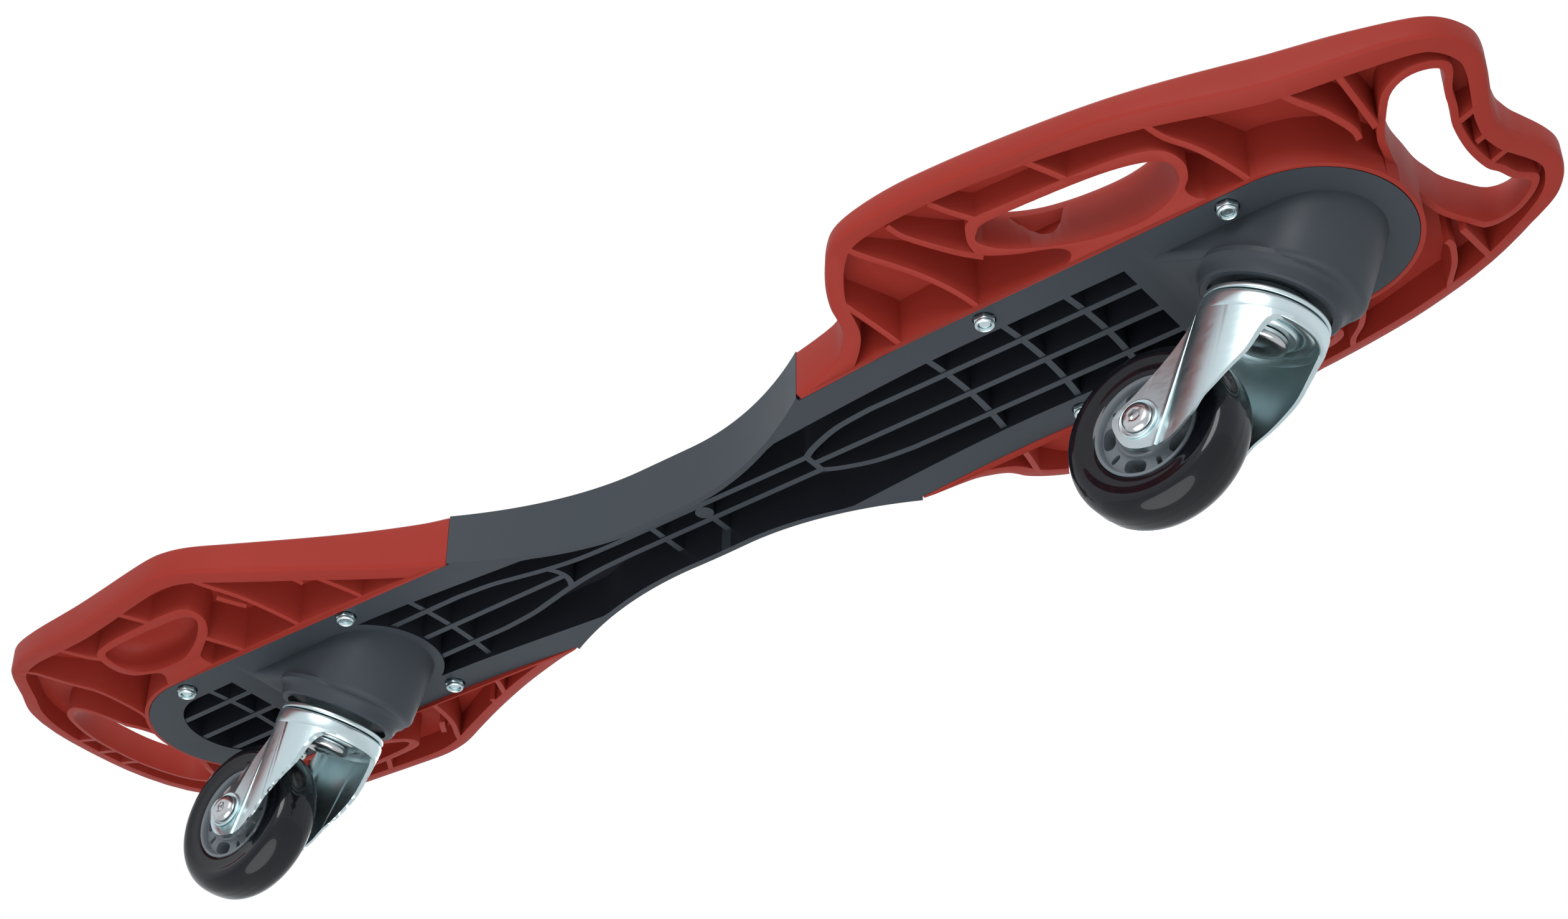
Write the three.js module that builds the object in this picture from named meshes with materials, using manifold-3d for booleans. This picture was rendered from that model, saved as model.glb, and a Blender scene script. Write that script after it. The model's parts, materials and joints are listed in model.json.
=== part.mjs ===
// Caster board: two platforms on one ribbed frame that twists at its neck, over two inclined casters.
// Millimetres. +X runs to the nose, +Z up; the origin is on the floor under the middle of the length.
import * as THREE from 'three';
import { mergeVertices } from 'three/addons/utils/BufferGeometryUtils.js';
import Module from 'manifold-3d';

const wasm = await Module();
wasm.setup();

// Lengths of the board, from the nose back
const FRONT_DECK_LENGTH = 306;
const NECK_LENGTH = 198;
const REAR_DECK_LENGTH = 298;
const NOSE_REACH = 50;
const TAIL_REACH = 71;

// Widths and clearances
const FRONT_DECK_WIDTH = 196;
const REAR_DECK_WIDTH = 203;
const TONGUE_WIDTH = 87;
const NECK_WIDTH = 40;
const GAP = 0.3;
const OVERRUN = 12;

// Frame moulding
const NECK_TOP = 20;
const NECK_BELLY = 9.3;
const FLARE_FRONT = 77;
const FLARE_REAR = 91;
const SKIRT = 3;
const FRAME_SKIN = 2.6;
const RIB = 2.6;
const WINDOW_WIDTH = 57;
const WINDOW_PAD = 12;
const LONG_RIB_SPACING = 16.5;
const NECK_RIB_SPACING = 11;
const RIB_BOW = 5;
const RIB_RISE = 0.5;
const CROSS_RIB_RISE = 1;
const LEDGE = 1;
const NECK_CROSS_RIB_SPACING = 27;
const NECK_BOSS_RADIUS = 4.2;
const TAIL_WALL = 18.5;

// Deck mouldings
const DECK_SKIN = 3;
const LIP = 2;
const RIM = 7.5;
const DECK_RIB = 2.2;
const RING_WALL = 3;
const FRONT_RIM_RISE = 14.7;
const REAR_RIM_RISE = 9.8;
const FRONT_DECK_TOP = 26;
const REAR_DECK_TOP = 24;
const RIM_SPAN_FRONT = 46;
const RIM_SPAN_REAR = 54;
const NOSE_LIFT = 3.5;
const NOSE_LIFT_LENGTH = 68;
const TAIL_LIFT = 12;
const TAIL_LIFT_LENGTH = 99;
const EDGE_ROUND = 3.5;

// Hand holds through the front deck and blind ovals under the rear deck
const HOLD_MOUTH_LENGTH = 82;
const HOLD_MOUTH_WIDTH = 28;
const HOLD_LENGTH = 74;
const HOLD_WIDTH = 21;
const HOLD_TILT_DEGREES = 6;
const BLIND_LENGTH = 66;
const BLIND_WIDTH = 31;
const BLIND_TILT_DEGREES = -3;
const BLIND_RISE = 15;
const BLIND_DOME = 3;

// Deck fasteners
const DECK_BOLT_RADIUS = 2.5;
const DECK_BOLT_HEAD_RADIUS = 5;
const DECK_BOLT_HEAD = 2.6;
const DECK_BOSS_RADIUS = 8;
const DECK_BOSS_DROP = 3;
const DECK_NUT_FLATS = 8.2;
const DECK_NUT_HEIGHT = 4.6;
const NUT_RECESS_RADIUS = 5.6;
const NUT_RECESS = 1.4;
const BOLT_LINE_WIDTH = 74;
const FRONT_BOLT_SETBACK = 57;
const FRONT_BOLT_PITCH = 111;
const REAR_BOLT_SETBACK = 47;
const REAR_BOLT_PITCH = 108;
const BOLT_END = 1.2;

// Casters: inclined swivels with trailing wheels
const RAKE_DEGREES = 24.5;
const WHEEL_RADIUS = 38;
const WHEEL_WIDTH = 24;
const FRONT_SWIVEL_SETBACK = 52;
const REAR_SWIVEL_SETBACK = 125;
const FORK_HEIGHT = 54.2;
const FORK_TRAIL = 32;
const RACE_DROP = 27.7;

// Caster housing
const HOUSING_WIDTH = 57;
const HOUSING_REACH = 37;
const HOUSING_ROUND = 26;
const HOUSING_FILLET = 3;
const PAD_DROP = 18.2;
const COLLAR_RADIUS = 30.5;
const COLLAR_MOUTH_RADIUS = 28.2;
const COLLAR_HEIGHT = 6.6;
const RECESS_RADIUS = 24.8;
const RECESS_DEPTH = 2.8;
const NUT_POCKET_RADIUS = 11;
const NUT_SEAT_RISE = 5;

// Swivel bearing and kingpin
const RACE_RADIUS = 25.2;
const RACE_THICKNESS = 2.6;
const RACE_HUB_RADIUS = 17;
const RACE_GAP = 0.6;
const BALL_RADIUS = 2.5;
const BALL_CIRCLE_RADIUS = 19;
const BALL_COUNT = 8;
const CAGE_WIDTH = 2.4;
const CAGE_THICKNESS = 0.8;
const BALL_DROP = 3.4;
const CROWN_RADIUS = 25.9;
const SKIRT_RADIUS = 25.4;
const CROWN_HEIGHT = 7.1;
const SHEET = 2.5;
const LOWER_RACE_RADIUS = 15;
const LOWER_RACE_THICKNESS = 3.8;
const KINGPIN_RADIUS = 4.8;
const KINGPIN_HEAD_FLATS = 20;
const KINGPIN_HEAD = 4.3;
const KINGPIN_NUT_FLATS = 17;
const KINGPIN_NUT_HEIGHT = 8;
const KINGPIN_WASHER_RADIUS = 10;
const KINGPIN_WASHER = 1.5;
const KINGPIN_END = 2.4;

// Fork legs, wheel, axle and bearings
const LEG_GAP = 26.4;
const LEG_LIP = 5.5;
const LEG_FLAT = 12;
const AXLE_RADIUS = 3.7;
const AXLE_HEAD_RADIUS = 6.2;
const AXLE_HEAD = 3.4;
const AXLE_SOCKET_FLATS = 5;
const AXLE_SOCKET_DEPTH = 2.2;
const AXLE_WASHER_RADIUS = 8;
const AXLE_WASHER = 1.2;
const AXLE_NUT_FLATS = 13;
const AXLE_NUT_HEIGHT = 7;
const AXLE_END = 1.5;
const BEARING_RADIUS = 11;
const BEARING_BORE_RADIUS = 4;
const BEARING_WIDTH = 7;
const INNER_RING_RADIUS = 6;
const SPACER_RADIUS = 5.4;
const WHEEL_WASHER_RADIUS = 6.5;
const HUB_RADIUS = 22.4;
const HUB_WIDTH = 21.4;
const HUB_RING = 2.2;
const HUB_CORE_RADIUS = 13.6;
const HUB_SHOULDER = 1.5;
const HUB_WEB = 7;
const WEB_FILLET = 0.9;
const SPOKE_COUNT = 5;
const SPOKE_WIDTH = 5;
const TYRE_CROWN_WIDTH = 7;

// Places along the length, worked out from the sizes above
const NOSE_X = (FRONT_DECK_LENGTH + NECK_LENGTH + REAR_DECK_LENGTH) / 2;
const TAIL_X = -NOSE_X;
const FRONT_SEAM_X = NOSE_X - FRONT_DECK_LENGTH;
const REAR_SEAM_X = TAIL_X + REAR_DECK_LENGTH;
const NECK_MID_X = (FRONT_SEAM_X + REAR_SEAM_X) / 2;
const FRONT_TONGUE_X = NOSE_X - NOSE_REACH;
const REAR_TONGUE_X = TAIL_X + TAIL_REACH;
const RAKE = THREE.MathUtils.degToRad(RAKE_DEGREES);
const AXLE_DROP = RACE_DROP + FORK_HEIGHT;
const FLANGE_Z = WHEEL_RADIUS + AXLE_DROP * Math.cos(RAKE) - FORK_TRAIL * Math.sin(RAKE);
const TONGUE_HALF = TONGUE_WIDTH / 2;
const SEAM_HALF = TONGUE_HALF + GAP + LIP;
const CLEAR_TOP_Z = FLANGE_Z + FRONT_DECK_TOP + REAR_DECK_TOP + NOSE_LIFT + TAIL_LIFT;
const HOUSING_BACK = PAD_DROP / Math.tan(RAKE);

// Heights along the swivel axis, down from the frame's flat underside
const COLLAR_MOUTH_Z = -PAD_DROP - COLLAR_HEIGHT;
const RECESS_Z = COLLAR_MOUTH_Z + RECESS_DEPTH;
const RACE_LOW_Z = -RACE_DROP - RACE_THICKNESS;
const CROWN_Z = RACE_LOW_Z - RACE_GAP;
const SKIRT_Z = CROWN_Z - CROWN_HEIGHT;
const BALL_Z = -RACE_DROP - BALL_DROP;
const GROOVE_RADIUS = BALL_RADIUS + GAP;
const LOWER_RACE_Z = CROWN_Z - SHEET - GAP;
const HEAD_Z = LOWER_RACE_Z - LOWER_RACE_THICKNESS - GAP;

// Places along the axle, out from the middle of the wheel
const HUB_HALF = HUB_WIDTH / 2;
const LEG_INNER = LEG_GAP / 2;
const WASHER_SEAT = LEG_INNER + SHEET + GAP;
const HEAD_SEAT = WASHER_SEAT + AXLE_WASHER + GAP;

// Each end of the board, described once so that the same functions make both
const FRONT = {
  name: 'front', dir: 1, tip: NOSE_X, seam: FRONT_SEAM_X, tongue: FRONT_TONGUE_X, reach: NOSE_REACH,
  deckLength: FRONT_DECK_LENGTH, deckWidth: FRONT_DECK_WIDTH, deckTop: FRONT_DECK_TOP, rimRise: FRONT_RIM_RISE,
  rimSpan: RIM_SPAN_FRONT, lift: NOSE_LIFT, liftLength: NOSE_LIFT_LENGTH, flare: FLARE_FRONT,
  swivel: FRONT_TONGUE_X - FRONT_SWIVEL_SETBACK, riseShares: [0, 0.32],
  bolts: [FRONT_TONGUE_X - FRONT_BOLT_SETBACK, FRONT_TONGUE_X - FRONT_BOLT_SETBACK - FRONT_BOLT_PITCH],
};
const REAR = {
  name: 'rear', dir: -1, tip: TAIL_X, seam: REAR_SEAM_X, tongue: REAR_TONGUE_X, reach: TAIL_REACH,
  deckLength: REAR_DECK_LENGTH, deckWidth: REAR_DECK_WIDTH, deckTop: REAR_DECK_TOP, rimRise: REAR_RIM_RISE,
  rimSpan: RIM_SPAN_REAR, lift: TAIL_LIFT, liftLength: TAIL_LIFT_LENGTH, flare: FLARE_REAR,
  swivel: REAR_TONGUE_X + REAR_SWIVEL_SETBACK, riseShares: [0.2, 0.48],
  bolts: [REAR_TONGUE_X + REAR_BOLT_SETBACK, REAR_TONGUE_X + REAR_BOLT_SETBACK + REAR_BOLT_PITCH],
};
const SIDES = [1, -1];

// Outlines and ribs as shares: along a deck's length from its seam, and across half its width
const FRONT_OUTLINE_SHARES = [
  [0.072, 0.5], [0.111, 0.592], [0.119, 0.694], [0.134, 0.796], [0.167, 0.918], [0.209, 0.98], [0.301, 1],
  [0.435, 0.974], [0.572, 0.918], [0.673, 0.847], [0.775, 0.755], [0.859, 0.684], [0.941, 0.602],
  [0.98, 0.531], [0.998, 0.429], [1, 0.337], [0.99, 0.224], [0.974, 0.092], [0.969, 0],
];
const REAR_OUTLINE_SHARES = [
  [0.039, 0.462], [0.154, 0.591], [0.272, 0.772], [0.349, 0.887], [0.396, 0.956], [0.44, 0.995],
  [0.49, 1], [0.594, 0.966], [0.668, 0.943], [0.758, 0.921], [0.826, 0.887], [0.866, 0.837],
  [0.893, 0.759], [0.926, 0.631], [0.96, 0.512], [0.983, 0.374], [0.997, 0.197], [1, 0],
];
const FRONT_RIB_SHARES = [
  [[0.294, 0.42], [0.294, 0.474], [0.278, 0.588], [0.25, 0.718], [0.206, 0.878], [0.193, 0.939]],
  [[0.17, 0.42], [0.17, 0.477], [0.151, 0.651], [0.137, 0.765]],
  [[0.329, 0.643], [0.316, 0.718], [0.273, 0.861], [0.261, 0.939]],
  [[0.365, 0.798], [0.343, 0.882], [0.327, 0.949]],
  [[0.501, 0.782], [0.487, 0.845], [0.467, 0.929]],
  [[0.695, 0.408], [0.695, 0.474], [0.667, 0.651], [0.637, 0.767], [0.624, 0.857]],
  [[0.833, 0.367], [0.833, 0.423], [0.818, 0.543], [0.795, 0.657], [0.784, 0.724]],
  [[0.856, 0.367], [0.856, 0.433], [0.854, 0.614], [0.853, 0.673]],
];
const REAR_RIB_SHARES = [
  [[0.726, 0.296], [0.726, 0.365], [0.752, 0.542], [0.795, 0.653], [0.848, 0.806], [0.859, 0.837]],
  [[0.695, 0.763], [0.728, 0.854], [0.748, 0.906]],
  [[0.532, 0.772], [0.567, 0.896], [0.581, 0.946]],
  [[0.444, 0.394], [0.444, 0.453], [0.483, 0.607]],
  [[0.32, 0.394], [0.32, 0.46], [0.355, 0.687], [0.394, 0.851], [0.409, 0.926]],
  [[0.182, 0.394], [0.182, 0.461], [0.213, 0.615], [0.228, 0.69]],
];
const HOLD_PLACE_SHARES = [0.49, 0.622];
const HOLD_TOP_PLACE_SHARES = [0.49, 0.648];
const BLIND_PLACE_SHARES = [0.574, 0.645];

// The nose hole and the tail slot, along the reach past the frame and across half the deck's width
const NOSE_HOLE_SHARES = [
  [0.03, 0], [0.03, 0.102], [0.06, 0.184], [0.1, 0.265], [0.2, 0.357], [0.32, 0.442], [0.48, 0.462],
  [0.64, 0.429], [0.71, 0.378], [0.63, 0.296], [0.59, 0.214], [0.54, 0.143], [0.516, 0],
];
const TAIL_SLOT_SHARES = [
  [0.05, 0], [0.08, 0.148], [0.16, 0.276], [0.282, 0.394], [0.394, 0.433], [0.535, 0.384],
  [0.62, 0.286], [0.676, 0.158], [0.69, 0],
];
const TIP_RIB_SHARES = [-0.14, 0, 0.14];
const TIP_RIB_START_SHARE = 0.6;

// Frame ribs: along the decks from their seams, and along the neck's flares
const FRONT_CROSS_RIB_SHARES = [0.183, 0.304, 0.402];
const REAR_CROSS_RIB_SHARES = [0.134, 0.577];
const BRIDGE_SHARE = 0.34;
const RIB_SPREAD_SHARE = 0.09;
const FLARE_POWER = 1.9;

// Fork legs: heights from the axle up as shares of the rise to the crown, edges as shares of the trail,
// then how far the front edge curls outwards
const LEG_ROW_SHARES = [
  [-0.267, -0.084, 0.084, 0], [-0.228, -0.206, 0.206, 0], [-0.159, -0.303, 0.328, 0.05],
  [-0.046, -0.369, 0.522, 0.25], [0.068, -0.362, 0.719, 0.65], [0.182, -0.266, 0.912, 1],
  [0.319, -0.144, 1.069, 0.8], [0.478, -0.019, 1.216, 0.5], [0.661, 0.106, 1.325, 0.25],
  [0.836, 0.281, 1.406, 0.1], [0.96, 0.4, 1.44, 0], [1.06, 0.475, 1.46, 0],
];
const LEG_ROUND_SHARE = 0.95;
const LEG_COLUMN_SHARES = [0, 0.2, 0.4, 0.6, 0.76, 0.9, 1];
const LEG_CURL_SHARES = [0.74, 1];
const AXLE_CREST_SHARE = 0.7;

// Tyre section from its seat to the tread: depth, then half-width
const TYRE_SECTION_SHARES = [[0.3, 0.9], [0.55, 1], [0.8, 0.82], [0.94, 0.56]];

// Smoothness of the curves
const OUTLINE_STEPS = 28;
const HEIGHT_STEPS = 4;
const NECK_STEPS = 8;
const ARC_STEPS = 8;
const OVAL_STEPS = 14;
const TURN_STEPS = 20;
const TYRE_STEPS = 28;
const HUB_STEPS = 18;
const ROD_STEPS = 12;
const SCREW_STEPS = 8;
const GROOVE_STEPS = 4;
const BOW_STEPS = 2;
const SPOKE_ARC_STEPS = 2;
const BALL_STEPS = 6;
const BALL_RINGS = 4;
const FLAT_ENOUGH = 0.06;
const HEX_SIDES = 6;
const ROUND_SHARE = 0.3;

// Joining and cutting of closed meshes
function volumeOf(positions, corners) {
  let volume = 0;
  const [p, q, r] = [new THREE.Vector3(), new THREE.Vector3(), new THREE.Vector3()];
  for (let i = 0; i < corners.length; i += 3) {
    p.fromArray(positions, 3 * corners[i]);
    q.fromArray(positions, 3 * corners[i + 1]);
    r.fromArray(positions, 3 * corners[i + 2]);
    volume += p.dot(q.cross(r)) / 6;
  }
  return volume;
}

function toSolid(geometry) {
  const bare = geometry.clone();
  bare.deleteAttribute('normal');
  bare.deleteAttribute('uv');
  const merged = mergeVertices(bare);
  const corners = [];
  for (let i = 0; i < merged.index.count; i += 3) {
    const [a, b, c] = [merged.index.getX(i), merged.index.getX(i + 1), merged.index.getX(i + 2)];
    if (a !== b && b !== c && c !== a) corners.push(a, b, c);
  }
  const vertProperties = new Float32Array(merged.attributes.position.array);
  if (volumeOf(vertProperties, corners) < 0) corners.reverse();
  return new wasm.Manifold(new wasm.Mesh({ numProp: 3, vertProperties, triVerts: new Uint32Array(corners) }));
}

function toGeometry(body) {
  const mesh = body.getMesh();
  const geometry = new THREE.BufferGeometry();
  geometry.setAttribute('position', new THREE.BufferAttribute(new Float32Array(mesh.vertProperties), 3));
  geometry.setIndex(new THREE.BufferAttribute(new Uint32Array(mesh.triVerts), 1));
  geometry.computeVertexNormals();
  return geometry;
}

const joined = (bodies) => bodies.reduce((sum, body) => sum.add(body));
const without = (body, cutters) => cutters.reduce((rest, cutter) => rest.subtract(cutter), body);
const placed = (body, matrix) => toSolid(toGeometry(body).applyMatrix4(matrix));
const moved = (body, x, y, z) => placed(body, new THREE.Matrix4().makeTranslation(x, y, z));

// Outlines of [x, y] points
const steps = (from, to, count) => Array.from({ length: count + 1 }, (_, i) => from + (to - from) * i / count);

function turningLeft(points) {
  const area = THREE.ShapeUtils.area(points.map(([x, y]) => new THREE.Vector2(x, y)));
  return area < 0 ? [...points].reverse() : points;
}

function inset(points, distance) {
  const outline = turningLeft(points);
  const count = outline.length;
  const normal = (p, q) => {
    const length = Math.hypot(q[0] - p[0], q[1] - p[1]);
    return [(p[1] - q[1]) / length, (q[0] - p[0]) / length];
  };
  return outline.map((p, i) => {
    const before = normal(outline[(i + count - 1) % count], p);
    const after = normal(p, outline[(i + 1) % count]);
    const scale = distance / (1 + before[0] * after[0] + before[1] * after[1]);
    return [p[0] + (before[0] + after[0]) * scale, p[1] + (before[1] + after[1]) * scale];
  });
}

// A band of the given thickness along a line of [x, y] points
function band(line, thickness) {
  const edge = (sign) => line.map((p, i) => {
    const q = line[Math.max(i - 1, 0)];
    const r = line[Math.min(i + 1, line.length - 1)];
    const reach = sign * thickness / 2 / Math.hypot(r[0] - q[0], r[1] - q[1]);
    return [p[0] + (q[1] - r[1]) * reach, p[1] + (r[0] - q[0]) * reach];
  });
  return [...edge(-1), ...edge(1).reverse()];
}

// Solids from outlines and profiles
function prism(points, low, high) {
  const shape = new THREE.Shape(points.map(([x, y]) => new THREE.Vector2(x, y)));
  const geometry = new THREE.ExtrudeGeometry(shape, { depth: high - low, bevelEnabled: false });
  return toSolid(geometry.translate(0, 0, low));
}

function acrossBoard(points, halfWidth) {
  const shape = new THREE.Shape(points.map(([x, z]) => new THREE.Vector2(x, z)));
  const geometry = new THREE.ExtrudeGeometry(shape, { depth: 2 * halfWidth, bevelEnabled: false });
  return toSolid(geometry.rotateX(Math.PI / 2).translate(0, halfWidth, 0));
}

// A closed skin over rings of [x, y, z] points, each turning left as seen from above, lowest first
function ringLoft(rings) {
  const count = rings[0].length;
  const index = [];
  for (let k = 0; k + 1 < rings.length; k += 1) {
    for (let i = 0; i < count; i += 1) {
      const j = (i + 1) % count;
      const [a, b, c, d] = [k * count + i, k * count + j, (k + 1) * count + j, (k + 1) * count + i];
      index.push(a, b, c, a, c, d);
    }
  }
  const flat = (ring) => ring.map(([x, y]) => new THREE.Vector2(x, y));
  const top = (rings.length - 1) * count;
  THREE.ShapeUtils.triangulateShape(flat(rings[0]), []).forEach(([a, b, c]) => index.push(c, b, a));
  const lid = THREE.ShapeUtils.triangulateShape(flat(rings[rings.length - 1]), []);
  lid.forEach(([a, b, c]) => index.push(top + a, top + b, top + c));
  const geometry = new THREE.BufferGeometry();
  geometry.setAttribute('position', new THREE.Float32BufferAttribute(rings.flat(2), 3));
  geometry.setIndex(index);
  return toSolid(geometry);
}

const atHeight = (points, z) => points.map(([x, y]) => [x, y, z]);

// A body turned about Z from [radius, z] points, closed on itself unless it starts on the axis
function turned(profile, segments = TURN_STEPS) {
  const points = profile.map(([radius, z]) => new THREE.Vector2(radius, z));
  if (profile[0][0] > 0) points.push(points[0].clone());
  return toSolid(new THREE.LatheGeometry(points, segments).rotateX(Math.PI / 2));
}

function rod(radius, low, high, segments = ROD_STEPS) {
  const geometry = new THREE.CylinderGeometry(radius, radius, high - low, segments);
  return toSolid(geometry.rotateX(Math.PI / 2).translate(0, 0, (low + high) / 2));
}

const washer = (outer, inner, low, high, segments = TURN_STEPS) => turned(
  [[inner, low], [outer, low], [outer, high], [inner, high]], segments,
);
const hexRod = (flats, low, high) => rod(flats / 2 / Math.cos(Math.PI / HEX_SIDES), low, high, HEX_SIDES);

// Heights along the board, above the frame's flat underside
const smooth = (x, from, to) => THREE.MathUtils.smoothstep(x, from, to);

function liftAt(end, x) {
  const from = end.tip - end.dir * end.liftLength;
  const share = Math.max(0, (x - from) * end.dir / end.liftLength);
  return end.lift * share * share;
}

function deckTopAt(end, x) {
  const share = (x - end.seam) * end.dir / end.deckLength;
  return NECK_TOP + (end.deckTop - NECK_TOP) * smooth(share, ...end.riseShares) + liftAt(end, x);
}

function bellyAt(x) {
  const end = x > NECK_MID_X ? FRONT : REAR;
  const reach = Math.abs(end.seam - NECK_MID_X) + end.flare;
  return -NECK_BELLY * (1 - smooth(Math.abs(x - NECK_MID_X), 0, reach));
}

function neckHalfAt(end, x) {
  const share = THREE.MathUtils.clamp(1 - (end.seam - x) * end.dir / end.flare, 0, 1);
  return NECK_WIDTH / 2 + (SEAM_HALF - NECK_WIDTH / 2) * share ** FLARE_POWER;
}

function frameHalfAt(end, x) {
  return (x - end.seam) * end.dir > 0 ? TONGUE_HALF : neckHalfAt(end, x);
}

// Everything between the floor and a height that follows the board, with stations only where it bends
function below(end, height) {
  const rise = end.riseShares.map((share) => end.seam + end.dir * share * end.deckLength);
  const lift = end.tip - end.dir * end.liftLength;
  const xs = [
    NECK_MID_X - end.dir * OVERRUN, ...steps(NECK_MID_X, end.seam + end.dir * end.flare, 2 * HEIGHT_STEPS),
    ...steps(...rise, HEIGHT_STEPS), ...steps(lift, end.tip + end.dir * OVERRUN, HEIGHT_STEPS),
  ].sort((a, b) => a - b);
  const line = [];
  xs.map((x) => [x, height(x)]).forEach((p, i, all) => {
    const [q, r] = [line[line.length - 1], all[i + 1]];
    const between = q && r ? q[1] + (r[1] - q[1]) * (p[0] - q[0]) / Math.max(r[0] - q[0], GAP) : Infinity;
    if (Math.abs(between - p[1]) > FLAT_ENOUGH) line.push(p);
  });
  const top = line.map(([x, rise]) => [x, FLANGE_Z + rise]);
  return acrossBoard([[xs[0], 0], ...top, [xs[xs.length - 1], 0]], REAR_DECK_WIDTH);
}

const deckPoint = (end, [along, across], side) => [
  end.seam + end.dir * along * end.deckLength, side * across * end.deckWidth / 2,
];
const tipPoint = (end, [along, across], side) => [
  end.tongue + end.dir * along * end.reach, side * across * end.deckWidth / 2,
];

// The tongue of the frame under a deck: straight sides and a round end
function tongueOutline(end, grow, fromX) {
  const radius = TONGUE_HALF + grow;
  const centre = end.tongue - end.dir * TONGUE_HALF;
  const arc = steps(-Math.PI / 2, Math.PI / 2, ARC_STEPS).map((angle) => [
    centre + end.dir * radius * Math.cos(angle), radius * Math.sin(angle),
  ]);
  return [[fromX, -radius], ...arc, [fromX, radius]];
}

function deckOutline(end) {
  const shares = end === FRONT ? FRONT_OUTLINE_SHARES : REAR_OUTLINE_SHARES;
  const points = shares.map((share) => new THREE.Vector2(...deckPoint(end, share, 1)));
  points.unshift(new THREE.Vector2(end.seam + end.dir * GAP / 2, SEAM_HALF));
  const half = new THREE.SplineCurve(points).getPoints(OUTLINE_STEPS).map((p) => [p.x, p.y]);
  const mirrored = half.slice(0, -1).map(([x, y]) => [x, -y]);
  return turningLeft([...half, ...mirrored.reverse()]);
}

// The space under a deck: level with the frame beside it, rising to the foot of the outer rim
function spaceUnder(end) {
  const start = end.seam - end.dir * OVERRUN;
  const centre = end.tongue - end.dir * TONGUE_HALF;
  const straight = [...steps(start, end.seam + end.dir * end.flare, HEIGHT_STEPS), centre];
  const arc = steps(-Math.PI / 2, Math.PI / 2, ARC_STEPS).slice(1, -1);
  const far = end.tip + end.dir * OVERRUN;
  const plan = (grow) => {
    const radius = TONGUE_HALF + grow;
    const near = straight.map((x) => [x, -radius]);
    const bend = arc.map((angle) => [
      centre + end.dir * radius * Math.cos(angle), radius * Math.sin(angle),
    ]);
    return turningLeft([...near, ...bend, ...straight.map((x) => [x, radius]).reverse()]);
  };
  const top = (grow, rise) => plan(grow).map(([x, y]) => [
    x, y, FLANGE_Z + bellyAt(x) + rise + liftAt(end, end.dir * Math.min(end.dir * x, end.dir * far)),
  ]);
  const inner = GAP + LIP;
  return ringLoft([
    atHeight(plan(REAR_DECK_WIDTH), 0), top(REAR_DECK_WIDTH, end.rimRise),
    top(end.reach + OVERRUN, end.rimRise), top(inner + end.rimSpan, end.rimRise), top(inner, 0),
  ]);
}

function oval([x, y], length, width, tiltDegrees) {
  const tilt = THREE.MathUtils.degToRad(tiltDegrees);
  return steps(0, 2 * Math.PI, OVAL_STEPS).slice(1).map((angle) => {
    const u = length / 2 * Math.cos(angle);
    const v = width / 2 * Math.sin(angle);
    return [x + u * Math.cos(tilt) - v * Math.sin(tilt), y + u * Math.sin(tilt) + v * Math.cos(tilt)];
  });
}

// A hole whose outline is given on one side of the board and mirrored to the other
function tipHole(end) {
  const shares = end === FRONT ? NOSE_HOLE_SHARES : TAIL_SLOT_SHARES;
  const half = shares.map((share) => tipPoint(end, share, 1));
  const inner = shares.slice(1, -1).map((share) => tipPoint(end, share, -1));
  return turningLeft([...half, ...inner.reverse()]);
}

// Hand holds taper from a wide mouth below to the hole in the deck's top
const holdMouth = (side, grow = 0) => oval(
  deckPoint(FRONT, HOLD_PLACE_SHARES, side), HOLD_MOUTH_LENGTH + grow, HOLD_MOUTH_WIDTH + grow,
  -side * HOLD_TILT_DEGREES,
);

function handHold(side) {
  const mouth = holdMouth(side);
  const place = deckPoint(FRONT, HOLD_TOP_PLACE_SHARES, side);
  const hole = oval(place, HOLD_LENGTH, HOLD_WIDTH, -side * HOLD_TILT_DEGREES);
  return ringLoft([
    atHeight(mouth, FLANGE_Z - OVERRUN), atHeight(mouth, FLANGE_Z + RING_WALL),
    atHeight(hole, FLANGE_Z + FRONT_DECK_TOP - EDGE_ROUND), atHeight(hole, CLEAR_TOP_Z),
  ]);
}

const blindOval = (side, grow) => oval(
  deckPoint(REAR, BLIND_PLACE_SHARES, side), BLIND_LENGTH + grow, BLIND_WIDTH + grow,
  -side * BLIND_TILT_DEGREES,
);

function blindPocket(side) {
  const mouth = blindOval(side, 0);
  const ceiling = FLANGE_Z + BLIND_RISE;
  return ringLoft([
    atHeight(mouth, FLANGE_Z - OVERRUN), atHeight(mouth, ceiling),
    atHeight(blindOval(side, -2 * BLIND_DOME), ceiling + BLIND_DOME),
  ]);
}

const boltPlaces = (end) => end.bolts.flatMap((x) => SIDES.map((side) => [x, side * BOLT_LINE_WIDTH / 2]));
const headSeatAt = (end, x) => deckTopAt(end, x) - DECK_BOLT_HEAD;

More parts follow.
